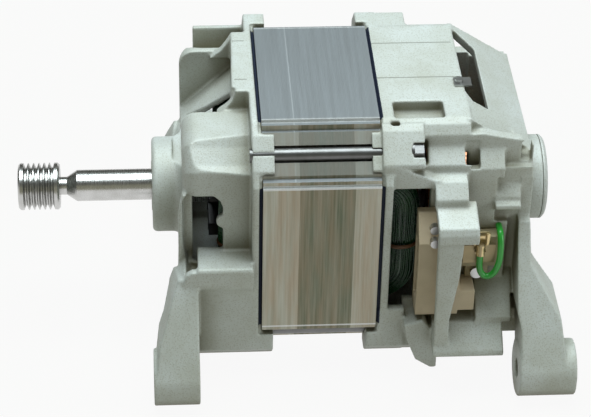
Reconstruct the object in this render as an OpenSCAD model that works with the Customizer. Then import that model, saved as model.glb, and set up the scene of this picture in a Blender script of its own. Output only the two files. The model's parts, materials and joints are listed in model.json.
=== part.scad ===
// Brushed washing machine motor on four fixing lugs.
// X runs along the shaft from the belt pulley to the sensor cap, Z is up and the near side is -Y.
// The origin is on the shaft axis, in the middle of the belt pulley.

/* [Stator stack] */
// Distance across the flats of the laminated stack
stack_w = 116; // [114:0.5:118]
// Length of the stack
stack_l = 50; // [44:1:56]
// From the belt line to the front of the stack
stack_x = 97; // [95:0.5:100]
// Width of each flat
flat_w = 74; // [73:0.5:75]
// Bore of the stator
bore_d = 65; // [64.6:0.1:66]
// Radial depth of the pole tips
tip_t = 6; // [5:0.25:6.5]
// Half angle covered by a pole
pole_angle = 62; // [58:1:64]
// Height of a pole body
pole_h = 40; // [38:0.5:41]
// Height across both winding windows
window_h = 88; // [86:0.5:89]
// Thickness of the side yokes
side_yoke = 12.8; // [12.4:0.1:13]

/* [Through bolts] */
// From the flat of the stack to the bolt axis
bolt_in = 11.5; // [11:0.1:12]
// Bolt diameter
bolt_d = 6; // [5:0.1:6]
// Hexagon head across its corners
bolt_head_d = 10; // [9:0.1:10.2]
// Hexagon head height
bolt_head_h = 4; // [3:0.1:4.5]
// Washer diameter
bolt_washer_d = 10; // [9.4:0.1:10.2]
// Washer thickness
bolt_washer_t = 1; // [0.8:0.1:1.4]
// Depth of the bolt seat in the commutator-end shield
bolt_seat = 13; // [11:0.5:14]
// Counterbore round a bolt head
bolt_sink_d = 10.8; // [10.6:0.1:11]

/* [Rotor] */
// Radial gap between rotor and stator
air_gap = 0.5; // [0.4:0.05:0.7]
// Number of rotor slots and commutator bars
slots = 24; // [20:2:24]
// Shaft diameter through the rotor core
core_bore = 17; // [16:0.5:18]
// Step from the rotor's surface in to the winding overhang
overhang_step = 3.5; // [3:0.5:6]
// Length of the winding overhang in front of the core
overhang_front = 13; // [10:0.5:14]
// Diameter of the cooling fan
fan_d = 48; // [40:1:50]
// Length of the cooling fan
fan_l = 7; // [5:0.5:7.5]
// Blades on the fan
blades = 11; // [7:1:13]
// Length of the winding overhang behind the core
overhang_rear = 20; // [16:0.5:21]
// Thickness of the insulating end discs
end_disc_t = 1; // [0.8:0.1:1.5]

/* [Commutator] */
// Diameter of the brush track
comm_d = 36; // [35:0.25:37]
// From the back of the stack to the front of the commutator
comm_gap = 24; // [23:0.5:25]
// Length of the commutator
comm_l = 29; // [28:0.5:30]
// Radial depth of a bar
bar_t = 3; // [2.5:0.1:3.5]
// Height of the wire hooks above the track
hook_h = 2.5; // [2:0.1:3]
// Shaft diameter through the commutator
comm_bore = 14; // [13:0.5:14.5]

/* [Shaft and pulley] */
// Ribs on the pulley
ribs = 6; // [4:1:6]
// Distance from rib to rib
rib_pitch = 2.34; // [2.2:0.02:2.4]
// Diameter over the ribs
pulley_d = 21; // [19:0.5:23]
// Depth of a belt groove
rib_depth = 2.1; // [1.8:0.05:2.2]
// Width of each rim beside the ribs
rim_w = 2.1; // [1.5:0.1:2.5]
// Bore of the pulley
spigot_d = 8; // [7:0.25:9]
// Shaft diameter in front of the bearing
nose_d = 14; // [13:0.1:14.6]
// Bare neck between pulley and cone
neck_l = 3.1; // [2:0.1:4]
// Length of the cone
cone_l = 4.5; // [3:0.1:6]

/* [Front bearing] */
// Outer diameter
fb_od = 35; // [34:0.5:36]
// Bore
fb_bore = 15; // [14.8:0.1:15.6]
// Width
fb_w = 11; // [10.5:0.5:11.5]
// Ball diameter
fb_ball = 6; // [5.5:0.1:6.2]
// Number of balls
fb_balls = 8; // [7:1:8]

/* [Rear bearing] */
// Outer diameter
rb_od = 32; // [31:0.5:33]
// Bore
rb_bore = 12; // [11.5:0.1:12.4]
// Width
rb_w = 10; // [9.5:0.5:10.5]
// Ball diameter
rb_ball = 5.8; // [5.4:0.1:6]
// Number of balls
rb_balls = 7; // [6:1:7]

/* [Drive-end shield] */
// From the belt line to the face of the hub
hub_x = 50.2; // [48:0.2:52]
// Diameter of the hub
hub_d = 42.5; // [41:0.5:44]
// Length of the hub in front of the shield
hub_l = 13.2; // [12.4:0.1:14]
// Step from the flat of the stack in to the side of the cup
cup_in = 9.5; // [9:0.25:10]
// Wall of the cup
cup_wall = 3; // [2.5:0.1:3.2]
// Thickness of the front plate
front_t = 4; // [3.5:0.1:5]
// Reach of the rounded front past the flat of the stack
cup_over = 4.5; // [3.5:0.25:5.5]
// Thickness of the flange on the stack
flange_t = 4.5; // [4:0.1:5]
// Length of the ears over the stack
ear_l = 5; // [3:0.5:6]
// Length of the side windows
side_window_l = 17.4; // [14:0.2:19]
// Height of the side windows
side_window_h = 33; // [28:0.5:34]

/* [Commutator-end shield] */
// Length of the shield from stack to end plate
bell_l = 66; // [65:0.5:68]
// Flat length of the roof
roof_l = 38.5; // [36:0.5:40]
// Drop of the sloping roof to the end plate
roof_drop = 17.5; // [15:0.5:18]
// Wall of the shield
bell_wall = 4; // [3.5:0.1:4.2]
// Thickness of the end plate
end_t = 5; // [4:0.1:6]
// Diameter of the rear bearing boss
boss_d = 38; // [37.6:0.2:40]
// Step from the flat of the stack in to a side wall
side_in = 8; // [7.5:0.1:8.5]
// Depth of the sensor pocket
sensor_l = 6.2; // [6:0.1:7]
// Thickness of the sensor cap
cap_t = 2; // [1.8:0.1:2.6]
// Diameter of the sensor magnet
magnet_d = 21; // [19:0.5:21.5]

/* [Fixing lugs] */
// Distance between the near and far lug bores
lug_span = 144; // [142:0.5:146]
// Depth of the lug bores below the shaft axis
lug_drop = 52; // [51:0.5:53]
// Lug diameter
lug_d = 25; // [24:0.5:26]
// Bore of the lugs
lug_bore = 8.4; // [8.2:0.1:10.4]
// Length of a front lug
front_lug_l = 20; // [18:0.5:22]
// From the belt line to the face of a front lug
front_lug_x = 49.4; // [48:0.2:51]
// Length of a rear lug
rear_lug_l = 25; // [22:0.5:26]
// From the back of the stack to the face of a rear lug
rear_lug_gap = 61.4; // [60:0.2:62]

/* [Field coils] */
// Loops in the outer layer of a coil
coil_loops = 12; // [10:1:12]
// Wire diameter
wire_d = 0.6; // [0.5:0.02:0.6]
// Wire pitch where the coil runs through the stack
wire_pitch = 1.02; // [1.02:0.01:1.04]
// Wire pitch where the coil turns behind the stack
end_pitch = 1.1; // [1.1:0.01:1.15]
// Space from the pole tips to a coil
coil_clear = 3.1; // [2.9:0.1:3.4]
// Height of a lacing band
lacing_h = 2.6; // [2:0.1:4]

/* [Brush gear] */
// Brush length along the holder
brush_l = 21; // [19:0.5:22]
// Brush width along the shaft
brush_w = 12.5; // [12:0.1:13]
// Brush thickness
brush_t = 5; // [4.8:0.1:5.2]
// Running clearance round the brush
brush_clear = 0.15; // [0.1:0.01:0.2]
// Wall of the brass tube
tube_wall = 0.6; // [0.5:0.05:0.8]
// From the commutator's front edge to the brush centre
brush_offset = 19.5; // [19.5:0.25:20]
// Height of the holder body
holder_h = 16; // [15:0.5:16.5]
// Width of the holder body
holder_w = 16.4; // [16:0.1:16.4]
// Width of the holder's foot on the side wall
foot_w = 10; // [9:0.25:11]
// Thickness of the holder's foot
foot_t = 3; // [2.5:0.1:3.4]
// Diameter of the holder screw
screw_d = 3; // [2.6:0.1:3.2]
// Diameter of its head
screw_head_d = 5.6; // [5:0.1:6]
// Height of its head
screw_head_h = 2; // [1.6:0.1:2.4]
// Wire of the brush spring
spring_wire = 0.6; // [0.5:0.05:0.7]
// Curls of the brush spring
spring_curls = 8; // [6:1:8]

/* [Connector] */
// Width of the connector along the shaft
conn_w = 18.5; // [17:0.5:19]
// Height of the connector
conn_h = 49; // [47:0.5:49]
// Depth of the connector
conn_depth = 12.4; // [12:0.1:12.8]
// Height of the connector's top above the shaft axis
conn_top = 20.5; // [19:0.5:21]
// Contacts in the connector
contacts = 8; // [6:1:9]
// Wall of the connector
conn_wall = 2; // [1.6:0.1:2.4]
// Depth of the socket
socket_l = 13; // [11:0.5:14]
// Length of a contact
contact_l = 8; // [6:0.5:8.5]
// Width of a contact
contact_w = 5; // [4:0.25:6]
// Thickness of a contact
contact_t = 0.8; // [0.6:0.1:1]
// Diameter of the connector screws
conn_screw_d = 4.2; // [3.8:0.1:4.4]

/* [Hidden] */

// Clearance of seated round faces, of parts that lie beside each other, and of free space
seat = 0.02;
gap = 0.3;
half = stack_w / 2;
flat = flat_w / 2;
rear_x = stack_x + stack_l;
mid_x = stack_x + stack_l / 2;
bolt_c = half - bolt_in;
bolt_hole = bolt_d / 2 + 0.3;
rotor_r = bore_d / 2 - air_gap;
overhang_r = rotor_r - overhang_step;
cup_r = half + cup_over;
side_y = half - side_in;
step_one = 1.2;
step_two = 2.5;
step_three = 3.8;
step_four = 4;
chamfer_sum = half - step_three + flat + step_four;

// Places along the shaft
plate_x = hub_x + hub_l;
flange_x = stack_x - flange_t;
fb_x = hub_x + 2;
pulley_l = ribs * rib_pitch + 2 * rim_w;
comm_x = rear_x + comm_gap;
brush_x = comm_x + brush_offset;
end_x = rear_x + bell_l;
rb_x = end_x - 7.5;
shoulder_x = rb_x + rb_w + 0.4;
pocket_x = shoulder_x + 2;
cap_x = pocket_x + sensor_l;
lug_y = lug_span / 2;
rear_lug_x = rear_x + rear_lug_gap;

// Turns a plane shape into a solid along X, Y or Z; the shape of along_x is drawn in Y and Z
module along_x(x0, l) {
    translate([x0, 0, 0]) rotate([90, 0, 90]) linear_extrude(l) children();
}
module along_y(y0, l) {
    translate([0, y0 + l, 0]) rotate([90, 0, 0]) linear_extrude(l) children();
}
module along_z(z0, l) {
    translate([0, 0, z0]) linear_extrude(l) children();
}
// Turns a profile drawn as radius and X about the shaft axis
module turned() {
    rotate([0, 90, 0]) rotate_extrude($fn = 96) children();
}
module rod_x(x0, l, r, y = 0, z = 0) {
    translate([x0, y, z]) rotate([0, 90, 0]) cylinder(r = r, h = l, $fn = 64);
}
module ring_x(x0, l, r_out, r_in, y = 0, z = 0) {
    difference() {
        rod_x(x0, l, r_out, y, z);
        rod_x(x0 - 1, l + 2, r_in, y, z);
    }
}
module both_sides() {
    children();
    mirror([0, 1, 0]) children();
}
// Repeats a child at the four bolt corners
module corners() {
    for (sy = [-1, 1], sz = [-1, 1]) translate([0, sy * bolt_c, sz * bolt_c]) children();
}
// Full outline from the points of its first quadrant
function mirrored(q) = concat(
    q,
    [for (i = [len(q) - 1:-1:0]) [-q[i][0], q[i][1]]],
    [for (p = q) [-p[0], -p[1]]],
    [for (i = [len(q) - 1:-1:0]) [q[i][0], -q[i][1]]]);

// A tube of a few sides swept along points, with ref never along the path
function unit(v) = v / norm(v);
function heading(p, i) = unit(p[min(i + 1, len(p) - 1)] - p[max(i - 1, 0)]);
function ring_point(p, i, a, r, ref) =
    let (t = heading(p, i), e = unit(cross(t, ref)), g = cross(t, e))
    p[i] + r * (cos(a) * e + sin(a) * g);
module swept(p, r, sides, ref) {
    n = len(p);
    points = [for (i = [0:n - 1], j = [0:sides - 1]) ring_point(p, i, 360 * j / sides, r, ref)];
    sleeve = [for (i = [0:n - 2], j = [0:sides - 1])
        let (a = i * sides + j, b = i * sides + (j + 1) % sides)
        each [[a, b + sides, b], [a, a + sides, b + sides]]];
    start_cap = [for (j = [1:sides - 2]) [0, j, j + 1]];
    last = (n - 1) * sides;
    end_cap = [for (j = [1:sides - 2]) [last, last + j + 1, last + j]];
    polyhedron(points, concat(sleeve, start_cap, end_cap));
}

// Stator lamination
stack_corner = [[half, flat], [half - step_one, flat], [half - step_one, flat + step_two],
    [half - step_three, flat + step_two], [half - step_three, flat + step_four],
    [flat + step_four, half - step_three], [flat + step_two, half - step_three],
    [flat + step_two, half - step_one], [flat, half - step_one], [flat, half]];
window_y = half - side_yoke;
window_z = window_h / 2;
window_cut = chamfer_sum - 11.2;
bolt_channel = 4;
module pole_wedge() {
    reach = stack_w;
    for (s = [-1, 1]) {
        polygon([[0, 0], [s * reach, reach * tan(pole_angle)], [s * reach, -reach * tan(pole_angle)]]);
    }
}
module winding_window() {
    polygon([[-window_y, pole_h / 2], [window_y, pole_h / 2], [window_y, window_cut - window_y],
        [window_cut - window_z, window_z], [window_z - window_cut, window_z],
        [-window_y, window_cut - window_y]]);
}
module stator_core() {
    color([0.6, 0.62, 0.6])
    along_x(stack_x, stack_l) {
        difference() {
            polygon(mirrored(stack_corner));
            circle(d = bore_d, $fn = 96);
            winding_window();
            mirror([0, 1]) winding_window();
            for (sy = [-1, 1], sz = [-1, 1]) {
                translate([sy * bolt_c, sz * bolt_c]) circle(r = bolt_channel, $fn = 32);
            }
        }
        intersection() {
            difference() {
                circle(r = bore_d / 2 + tip_t, $fn = 96);
                circle(d = bore_d, $fn = 96);
            }
            pole_wedge();
        }
    }
}

// Field coils lie round the poles at the near and far sides
coil_y = window_y - 2.2;
coil_in = sqrt(pow(bore_d / 2 + tip_t, 2) - pow(pole_h / 2, 2)) + coil_clear;
wire_y = coil_y + wire_d;
loop_z = pole_h / 2 + 1.6;
loop_x = stack_l / 2 + 5.2;
loop_r = 5.1;
// Half length, half height and corner radius of the loop after t turns
function half_x(t) = loop_x + end_pitch * t;
function half_z(t) = loop_z + wire_pitch * t;
function loop_corner(t) = loop_r + end_pitch * t;
rings_per_loop = 24;
// One sixth of the rings stand in the middle of the straight runs
function loop_spot(i) =
    let (q = floor(i / 6) % 4, k = i % 6, t = i / rings_per_loop)
    let (hx = half_x(t), hz = half_z(t), rc = loop_corner(t))
    let (sx = (q == 0 || q == 3) ? 1 : -1, sz = (q < 2) ? 1 : -1)
    let (a = (k - 1) * 22.5 + 90 * q)
    k == 0
        ? [q == 0 ? hx : q == 2 ? -hx : 0, q == 1 ? hz : q == 3 ? -hz : 0]
        : [sx * (hx - rc) + rc * cos(a), sz * (hz - rc) + rc * sin(a)];
function coil_spots(n) = [for (i = [0:n * rings_per_loop - 1]) loop_spot(i)];
function coil_path(n) =
    let (s = coil_spots(n), last = len(s) - 1)
    concat([[s[0][0], -coil_y, s[0][1]]],
        [for (p = s) [p[0], -wire_y, p[1]]],
        [[s[last][0], -coil_y, s[last][1]]]);
function least_gap(p, d) = min([for (i = [1:len(p) - 2],
    j = [i + 16:1:min(i + 32, len(p) - 2)]) norm(p[i] - p[j])]) - d;
module coil_turns() {
    path = coil_path(coil_loops);
    echo(str("Least gap between the turns of a field coil: ", least_gap(path, wire_d), " mm"));
    translate([mid_x, 0, 0]) swept(path, wire_d / 2, 6, [0.03, 1, 0.02]);
}
module rounded_box_2d(hx, hz, r) {
    square([2 * hx, 2 * (hz - r)], center = true);
    square([2 * (hx - r), 2 * hz], center = true);
    for (sx = [-1, 1], sz = [-1, 1]) {
        translate([sx * (hx - r), sz * (hz - r)]) circle(r = r, $fn = 48);
    }
}
module coil_body() {
    outer = coil_loops;
    along_y(-coil_y, coil_y - coil_in) translate([mid_x, 0]) difference() {
        rounded_box_2d(half_x(outer), half_z(outer), loop_corner(outer));
        rounded_box_2d(half_x(-0.6), half_z(-0.6), loop_corner(-0.6));
    }
}
module near_coil_body() {
    color([0.13, 0.22, 0.12]) coil_body();
}
module near_coil_turns() {
    color([0.16, 0.3, 0.16]) coil_turns();
}
module far_coil_body() {
    color([0.13, 0.22, 0.12]) mirror([0, 1, 0]) coil_body();
}
module far_coil_turns() {
    color([0.16, 0.3, 0.16]) mirror([0, 1, 0]) coil_turns();
}
// Lacing bands tie the turns in front of and behind the stack
lacing_t = 0.6;
lacing_clear = 0.2;
module lacing_band(x0, x1) {
    inner_y = coil_in - lacing_clear;
    outer_y = wire_y + wire_d / 2 + lacing_clear;
    along_z(-lacing_h - 1.5, lacing_h) difference() {
        translate([x0 - lacing_t, -outer_y - lacing_t])
            square([x1 - x0 + 2 * lacing_t, outer_y - inner_y + 2 * lacing_t]);
        translate([x0, -outer_y]) square([x1 - x0, outer_y - inner_y]);
    }
}
module coil_lacing() {
    color([0.72, 0.45, 0.25]) both_sides() {
        lo = half_x(-0.6) - lacing_clear;
        hi = half_x(coil_loops) + wire_d / 2 + lacing_clear;
        lacing_band(mid_x + lo, mid_x + hi);
        lacing_band(mid_x - hi, mid_x - lo);
    }
}
// Thin liners keep the coil sides off the steel
liner_t = 0.4;
liner_out = 1.5;
module liner_shape(grow) {
    zl = pole_h / 2 + 0.2 + liner_t;
    zh = half_z(coil_loops) + wire_d / 2 + 0.3;
    yo = wire_y + wire_d / 2 + 0.2;
    yi = coil_in - 0.3;
    polygon([[-yo - grow, zl - grow], [-yi + grow, zl - grow], [-yi + grow, zh + grow],
        [-yo - grow, zh + grow]]);
}
module slot_liners() {
    color([0.8, 0.78, 0.66])
    for (sz = [0, 1]) mirror([0, 0, sz]) both_sides() {
        along_x(stack_x - liner_out, stack_l + 2 * liner_out) difference() {
            liner_shape(liner_t);
            liner_shape(0);
        }
    }
}

// Through bolts, screwed into the drive-end shield from behind
seat_x = rear_x + bolt_seat;
bolt_tip = 0.8;
module through_bolts() {
    head_x = seat_x + bolt_washer_t;
    color([0.55, 0.55, 0.55]) corners() {
        rod_x(flange_x - bolt_tip, head_x + 0.5 - flange_x + bolt_tip, bolt_d / 2);
        translate([head_x, 0, 0]) rotate([0, 90, 0])
            cylinder(d = bolt_head_d, h = bolt_head_h, $fn = 6);
    }
}
module bolt_washers() {
    color([0.7, 0.7, 0.7]) corners() ring_x(seat_x, bolt_washer_t, bolt_washer_d / 2, bolt_hole);
}

// Shaft, from the pulley to the sensor magnet
nose_x = pulley_l / 2 + neck_l + cone_l;
seat_front = fb_x - 0.6;
seat_rear = rb_x + rb_w + 0.2;
magnet_x = pocket_x + 0.6;
magnet_l = sensor_l - 2.6;
spigot_front = -pulley_l / 2 + 1;
module shaft() {
    color([0.82, 0.83, 0.84]) turned() polygon([
        [0, spigot_front], [spigot_d / 2, spigot_front], [spigot_d / 2, pulley_l / 2 + neck_l],
        [nose_d / 2, nose_x], [nose_d / 2, seat_front], [fb_bore / 2, seat_front],
        [fb_bore / 2, fb_x + fb_w], [core_bore / 2, fb_x + fb_w + 0.5],
        [core_bore / 2, rear_x + comm_gap - 2], [comm_bore / 2, rear_x + comm_gap - 2],
        [comm_bore / 2, rb_x - 0.5], [rb_bore / 2, rb_x - 0.5], [rb_bore / 2, seat_rear],
        [spigot_d / 2, seat_rear], [spigot_d / 2, magnet_x + magnet_l + 0.4],
        [0, magnet_x + magnet_l + 0.4]]);
}
// Pulley with V-shaped belt grooves
module drive_pulley() {
    r = pulley_d / 2;
    x0 = -pulley_l / 2;
    chamfer = 0.8;
    flat_tip = 0.35;
    grooves = [for (i = [0:ribs - 1]) let (x = x0 + rim_w + i * rib_pitch)
        each [[r, x + flat_tip / 2], [r - rib_depth, x + rib_pitch / 2 - flat_tip / 2],
            [r - rib_depth, x + rib_pitch / 2 + flat_tip / 2], [r, x + rib_pitch - flat_tip / 2]]];
    color([0.85, 0.86, 0.87]) turned() polygon(concat(
        [[spigot_d / 2 + seat, x0], [r - chamfer, x0], [r, x0 + chamfer]],
        grooves,
        [[r, -x0 - chamfer], [r - chamfer, -x0], [spigot_d / 2 + seat, -x0]]));
}

// Rotor
slot_in = core_bore / 2 + 9.5;
slot_out = rotor_r - 2.5;
module slot_shape(shrink) {
    polygon([[slot_in + shrink, -1.3 + shrink], [slot_out - 1.6 * shrink, -2.6 + shrink],
        [slot_out - 1.6 * shrink, 2.6 - shrink], [slot_in + shrink, 1.3 - shrink]]);
}
module rotor_plate() {
    difference() {
        circle(r = rotor_r, $fn = 96);
        circle(r = core_bore / 2 + seat, $fn = 64);
        for (i = [0:slots - 1]) rotate(i * 360 / slots) {
            slot_shape(0);
            translate([slot_out - 0.5, -1]) square([rotor_r - slot_out + 2, 2]);
        }
    }
}
module rotor_core() {
    color([0.45, 0.46, 0.47]) along_x(stack_x, stack_l) rotor_plate();
}
module rotor_end_discs() {
    color([0.75, 0.2, 0.15]) {
        along_x(stack_x - end_disc_t, end_disc_t) rotor_plate();
        along_x(rear_x, end_disc_t) rotor_plate();
    }
}
overhang_in = slot_in - 5;
module overhang(x0, l) {
    soft = 3;
    turned() polygon([[overhang_in, x0], [overhang_r - soft, x0], [overhang_r, x0 + soft],
        [overhang_r, x0 + l - soft], [overhang_r - soft, x0 + l], [overhang_in, x0 + l]]);
}
module rotor_winding() {
    color([0.62, 0.25, 0.12]) {
        overhang(stack_x - end_disc_t - overhang_front - 0.1, overhang_front);
        overhang(rear_x + end_disc_t + 0.1, overhang_rear);
        l = stack_l + 2 * end_disc_t + 2;
        along_x(mid_x - l / 2, l) for (i = [0:slots - 1]) rotate(i * 360 / slots) slot_shape(0.25);
    }
}
module slot_wedges() {
    wedge_t = 0.35;
    wedge_w = 4.2;
    color([0.85, 0.8, 0.6]) along_x(stack_x + 0.5, stack_l - 1)
        for (i = [0:slots - 1]) rotate(i * 360 / slots)
            translate([slot_out - wedge_t - 0.02, -wedge_w / 2]) square([wedge_t, wedge_w]);
}
// Cooling fan in front of the winding
fan_x = stack_x - end_disc_t - overhang_front - 1 - fan_l;
module cooling_fan() {
    disc_t = 1.6;
    blade_t = 1.4;
    hub_r = 12;
    color([0.12, 0.12, 0.13]) difference() {
        union() {
            rod_x(fan_x + fan_l - disc_t, disc_t, fan_d / 2);
            rod_x(fan_x, fan_l, hub_r);
            for (i = [0:blades - 1]) rotate([i * 360 / blades, 0, 0])
                translate([fan_x, hub_r - 1, -blade_t / 2])
                    cube([fan_l - 0.5, fan_d / 2 - hub_r + 0.5, blade_t]);
        }
        rod_x(fan_x - 1, fan_l + 2, core_bore / 2 + seat);
    }
}
bar_in = comm_d / 2 - bar_t;
module commutator_hub() {
    color([0.25, 0.13, 0.08]) ring_x(comm_x, comm_l + 1, bar_in - seat, comm_bore / 2 + seat);
}
module commutator_bars() {
    split = 0.5;
    color([0.8, 0.5, 0.3]) difference() {
        union() {
            ring_x(comm_x + 1, comm_l - 1, comm_d / 2, bar_in);
            ring_x(comm_x + 1, 3, comm_d / 2 + hook_h, bar_in);
        }
        for (i = [0:slots - 1]) rotate([(i + 0.5) * 360 / slots, 0, 0])
            translate([comm_x - 1, bar_in - 2, -split / 2]) cube([comm_l + 4, comm_d, split]);
    }
}

// Ball bearings
race_share = 0.32;
groove_clear = 0.08;
function pitch_r(od, bore) = (od + bore) / 4;
module ball_groove(x0, w, od, bore, ball) {
    translate([0, x0 + w / 2]) translate([pitch_r(od, bore), 0])
        circle(d = ball + 2 * groove_clear, $fn = 48);
}
module outer_race(x0, w, od, bore, ball) {
    r = pitch_r(od, bore) + race_share * ball;
    turned() difference() {
        translate([r, x0]) square([od / 2 - r, w]);
        ball_groove(x0, w, od, bore, ball);
    }
}
module inner_race(x0, w, od, bore, ball) {
    r = pitch_r(od, bore) - race_share * ball;
    turned() difference() {
        translate([bore / 2 + seat, x0]) square([r - bore / 2 - seat, w]);
        ball_groove(x0, w, od, bore, ball);
    }
}
module balls(x0, w, od, bore, ball, count) {
    for (i = [0:count - 1]) rotate([i * 360 / count, 0, 0])
        translate([x0 + w / 2, pitch_r(od, bore), 0]) sphere(d = ball, $fn = 32);
}
module cage(x0, w, od, bore, ball, count) {
    cage_l = 0.62 * w;
    cage_t = 0.3 * ball;
    difference() {
        ring_x(x0 + (w - cage_l) / 2, cage_l, pitch_r(od, bore) + cage_t / 2,
            pitch_r(od, bore) - cage_t / 2);
        for (i = [0:count - 1]) rotate([i * 360 / count, 0, 0])
            translate([x0 + w / 2, pitch_r(od, bore) - cage_t, 0])
                rotate([-90, 0, 0]) cylinder(d = ball + 0.3, h = 2 * cage_t, $fn = 48);
    }
}
module seals(x0, w, od, bore, ball) {
    seal_t = 0.6;
    r_out = pitch_r(od, bore) + race_share * ball - 0.05;
    r_in = pitch_r(od, bore) - race_share * ball + 0.25;
    for (x = [x0 + 0.3, x0 + w - 0.3 - seal_t]) ring_x(x, seal_t, r_out, r_in);
}
module front_bearing_outer_race() {
    color([0.75, 0.76, 0.78]) outer_race(fb_x, fb_w, fb_od, fb_bore, fb_ball);
}
module front_bearing_inner_race() {
    color([0.75, 0.76, 0.78]) inner_race(fb_x, fb_w, fb_od, fb_bore, fb_ball);
}
module front_bearing_balls() {
    color([0.9, 0.9, 0.92]) balls(fb_x, fb_w, fb_od, fb_bore, fb_ball, fb_balls);
}
module front_bearing_cage() {
    color([0.8, 0.65, 0.35]) cage(fb_x, fb_w, fb_od, fb_bore, fb_ball, fb_balls);
}
module front_bearing_seals() {
    color([0.15, 0.15, 0.15]) seals(fb_x, fb_w, fb_od, fb_bore, fb_ball);
}
module rear_bearing_outer_race() {
    color([0.75, 0.76, 0.78]) outer_race(rb_x, rb_w, rb_od, rb_bore, rb_ball);
}
module rear_bearing_inner_race() {
    color([0.75, 0.76, 0.78]) inner_race(rb_x, rb_w, rb_od, rb_bore, rb_ball);
}
module rear_bearing_balls() {
    color([0.9, 0.9, 0.92]) balls(rb_x, rb_w, rb_od, rb_bore, rb_ball, rb_balls);
}
module rear_bearing_cage() {
    color([0.8, 0.65, 0.35]) cage(rb_x, rb_w, rb_od, rb_bore, rb_ball, rb_balls);
}
module rear_bearing_seals() {
    color([0.15, 0.15, 0.15]) seals(rb_x, rb_w, rb_od, rb_bore, rb_ball);
}
module wave_washer() {
    color([0.5, 0.5, 0.55]) ring_x(rb_x + rb_w + 0.05, 0.3, rb_od / 2 - 0.3, rb_od / 2 - 2.2);
}

// A fixing lug as a disc in Y and Z, for the near side
module lug(x0, l) {
    rod_x(x0, l, lug_d / 2, -lug_y, -lug_drop);
}
module lug_bores(x0, l) {
    both_sides() rod_x(x0 - 1, l + 2, lug_bore / 2, -lug_y, -lug_drop);
}

// Drive-end shield
cup = half - cup_in;
// Corner of the cavity, kept clear of the channels beside the bolts
notch = [[0, 9.6], [3.2, 8.4], [8.4, 3.2], [9.6, 0]];
module cavity_shape(inset) {
    c = cup - inset;
    polygon(mirrored([for (p = notch) [c - p[0] * (1 + inset * 0.03), c - p[1] * (1 + inset * 0.03)]]));
}
front_round = 8;
module cup_envelope() {
    // Rounded front of the cup about the shaft
    turned() {
        square_r = cup_r - front_round;
        translate([0, plate_x]) square([square_r, stack_x - plate_x]);
        translate([0, plate_x + front_round]) square([cup_r, stack_x - plate_x - front_round]);
        translate([square_r, plate_x + front_round]) circle(r = front_round, $fn = 64);
    }
}
module cup_side_view() {
    r = 7;
    translate([plate_x + r, -cup]) square([flange_x - plate_x - r + 1, 2 * cup]);
    translate([plate_x, -cup + r]) square([flange_x - plate_x + 1, 2 * (cup - r)]);
    for (s = [-1, 1]) translate([plate_x + r, s * (cup - r)]) circle(r = r, $fn = 48);
}
// Channels that leave the bolt ends free and run out towards the front
channel_tilt = -7;
module bolt_channels() {
    for (sy = [0, 1], sz = [0, 1]) mirror([0, sy, 0]) mirror([0, 0, sz])
        translate([flange_x, 0, 0]) rotate(a = channel_tilt, v = [0, -1, 1])
            along_x(-cup, 2 * cup) polygon([[bolt_c - 16.5, cup + 7.5], [bolt_c - 14, cup],
                [bolt_c - 9.6, bolt_c - 2.4], [bolt_c - 2.8, bolt_c - 7.4],
                [cup, bolt_c - 9.3], [cup + 7.5, bolt_c - 10.9], [stack_w, stack_w]]);
}
module cup_block() {
    intersection() {
        along_x(plate_x, flange_x - plate_x + 1) square(2 * cup, center = true);
        cup_envelope();
        along_y(-cup, 2 * cup) cup_side_view();
        along_z(-cup, 2 * cup) cup_side_view();
    }
}
module cup_solid() {
    difference() {
        cup_block();
        bolt_channels();
    }
}
// Flange outline: full corners, and a slim corner near the top
full_cut = 8.5;
slim_sum = chamfer_sum + 2.3;
slim_reach = half - 4.1;
module flange_outline(inset) {
    h = half - inset;
    reach = slim_reach - inset;
    polygon([[h, half - full_cut], [half - full_cut, h], [-flat, h],
        [slim_reach - slim_sum, reach], [-reach, slim_sum - slim_reach],
        [-h, flat], [-h, full_cut - half], [full_cut - half, -h],
        [half - full_cut, -h], [h, full_cut - half]]);
}
// Width and depth of the groove between a flange and the stack
groove_w = 1.6;
groove_t = 1.5;
// Ears over the stack, seen along X
ear_lean = half - step_three + 0.3;
ear_start = flat + step_four + 0.4;
module full_ear() {
    polygon([[ear_start, ear_lean], [ear_start, half], [half - full_cut, half],
        [half, half - full_cut], [half, ear_start], [ear_lean, ear_start]]);
}
module slim_ear() {
    polygon([[ear_start, ear_lean], [slim_sum - slim_reach - 0.5, slim_reach + 0.5],
        [slim_reach + 0.5, slim_sum - slim_reach - 0.5], [ear_lean, ear_start]]);
}
module ears(x0, l) {
    along_x(x0, l) {
        full_ear();
        mirror([0, 1]) full_ear();
        mirror([1, 0]) mirror([0, 1]) full_ear();
        mirror([1, 0]) slim_ear();
    }
}
web_far = 34;
web_near = -15;
pad_x = flange_x - 6;
hood_y = -side_y - 13;
recess_low = 19;
recess_high = cup - 8;
module top_recess() {
    along_y(web_near, web_far - web_near) polygon([[plate_x - 4, recess_low], [plate_x, recess_low],
        [pad_x, recess_high], [pad_x, half], [plate_x - 4, half]]);
}
module recess_floor() {
    intersection() {
        along_y(web_near - 1, web_far - web_near + 2) polygon([[plate_x, recess_low - 4],
            [plate_x, recess_low], [pad_x, recess_high], [flange_x + 1, recess_high],
            [flange_x + 1, recess_high - 3.5], [pad_x, recess_high - 3.5]]);
        cup_solid();
    }
}
module recess_opening() {
    along_z(0, half) polygon([[plate_x + 2.5, 23], [plate_x + 12, 17.5], [plate_x + 22.5, 13.5],
        [plate_x + 22, 3], [plate_x + 18, -6], [plate_x + 13.5, web_near + 0.5],
        [plate_x + 5, web_near + 0.5], [plate_x + 2.5, 8]]);
}
window_edge_x = plate_x + side_window_l - 0.4;
window_low = -6;
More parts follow.
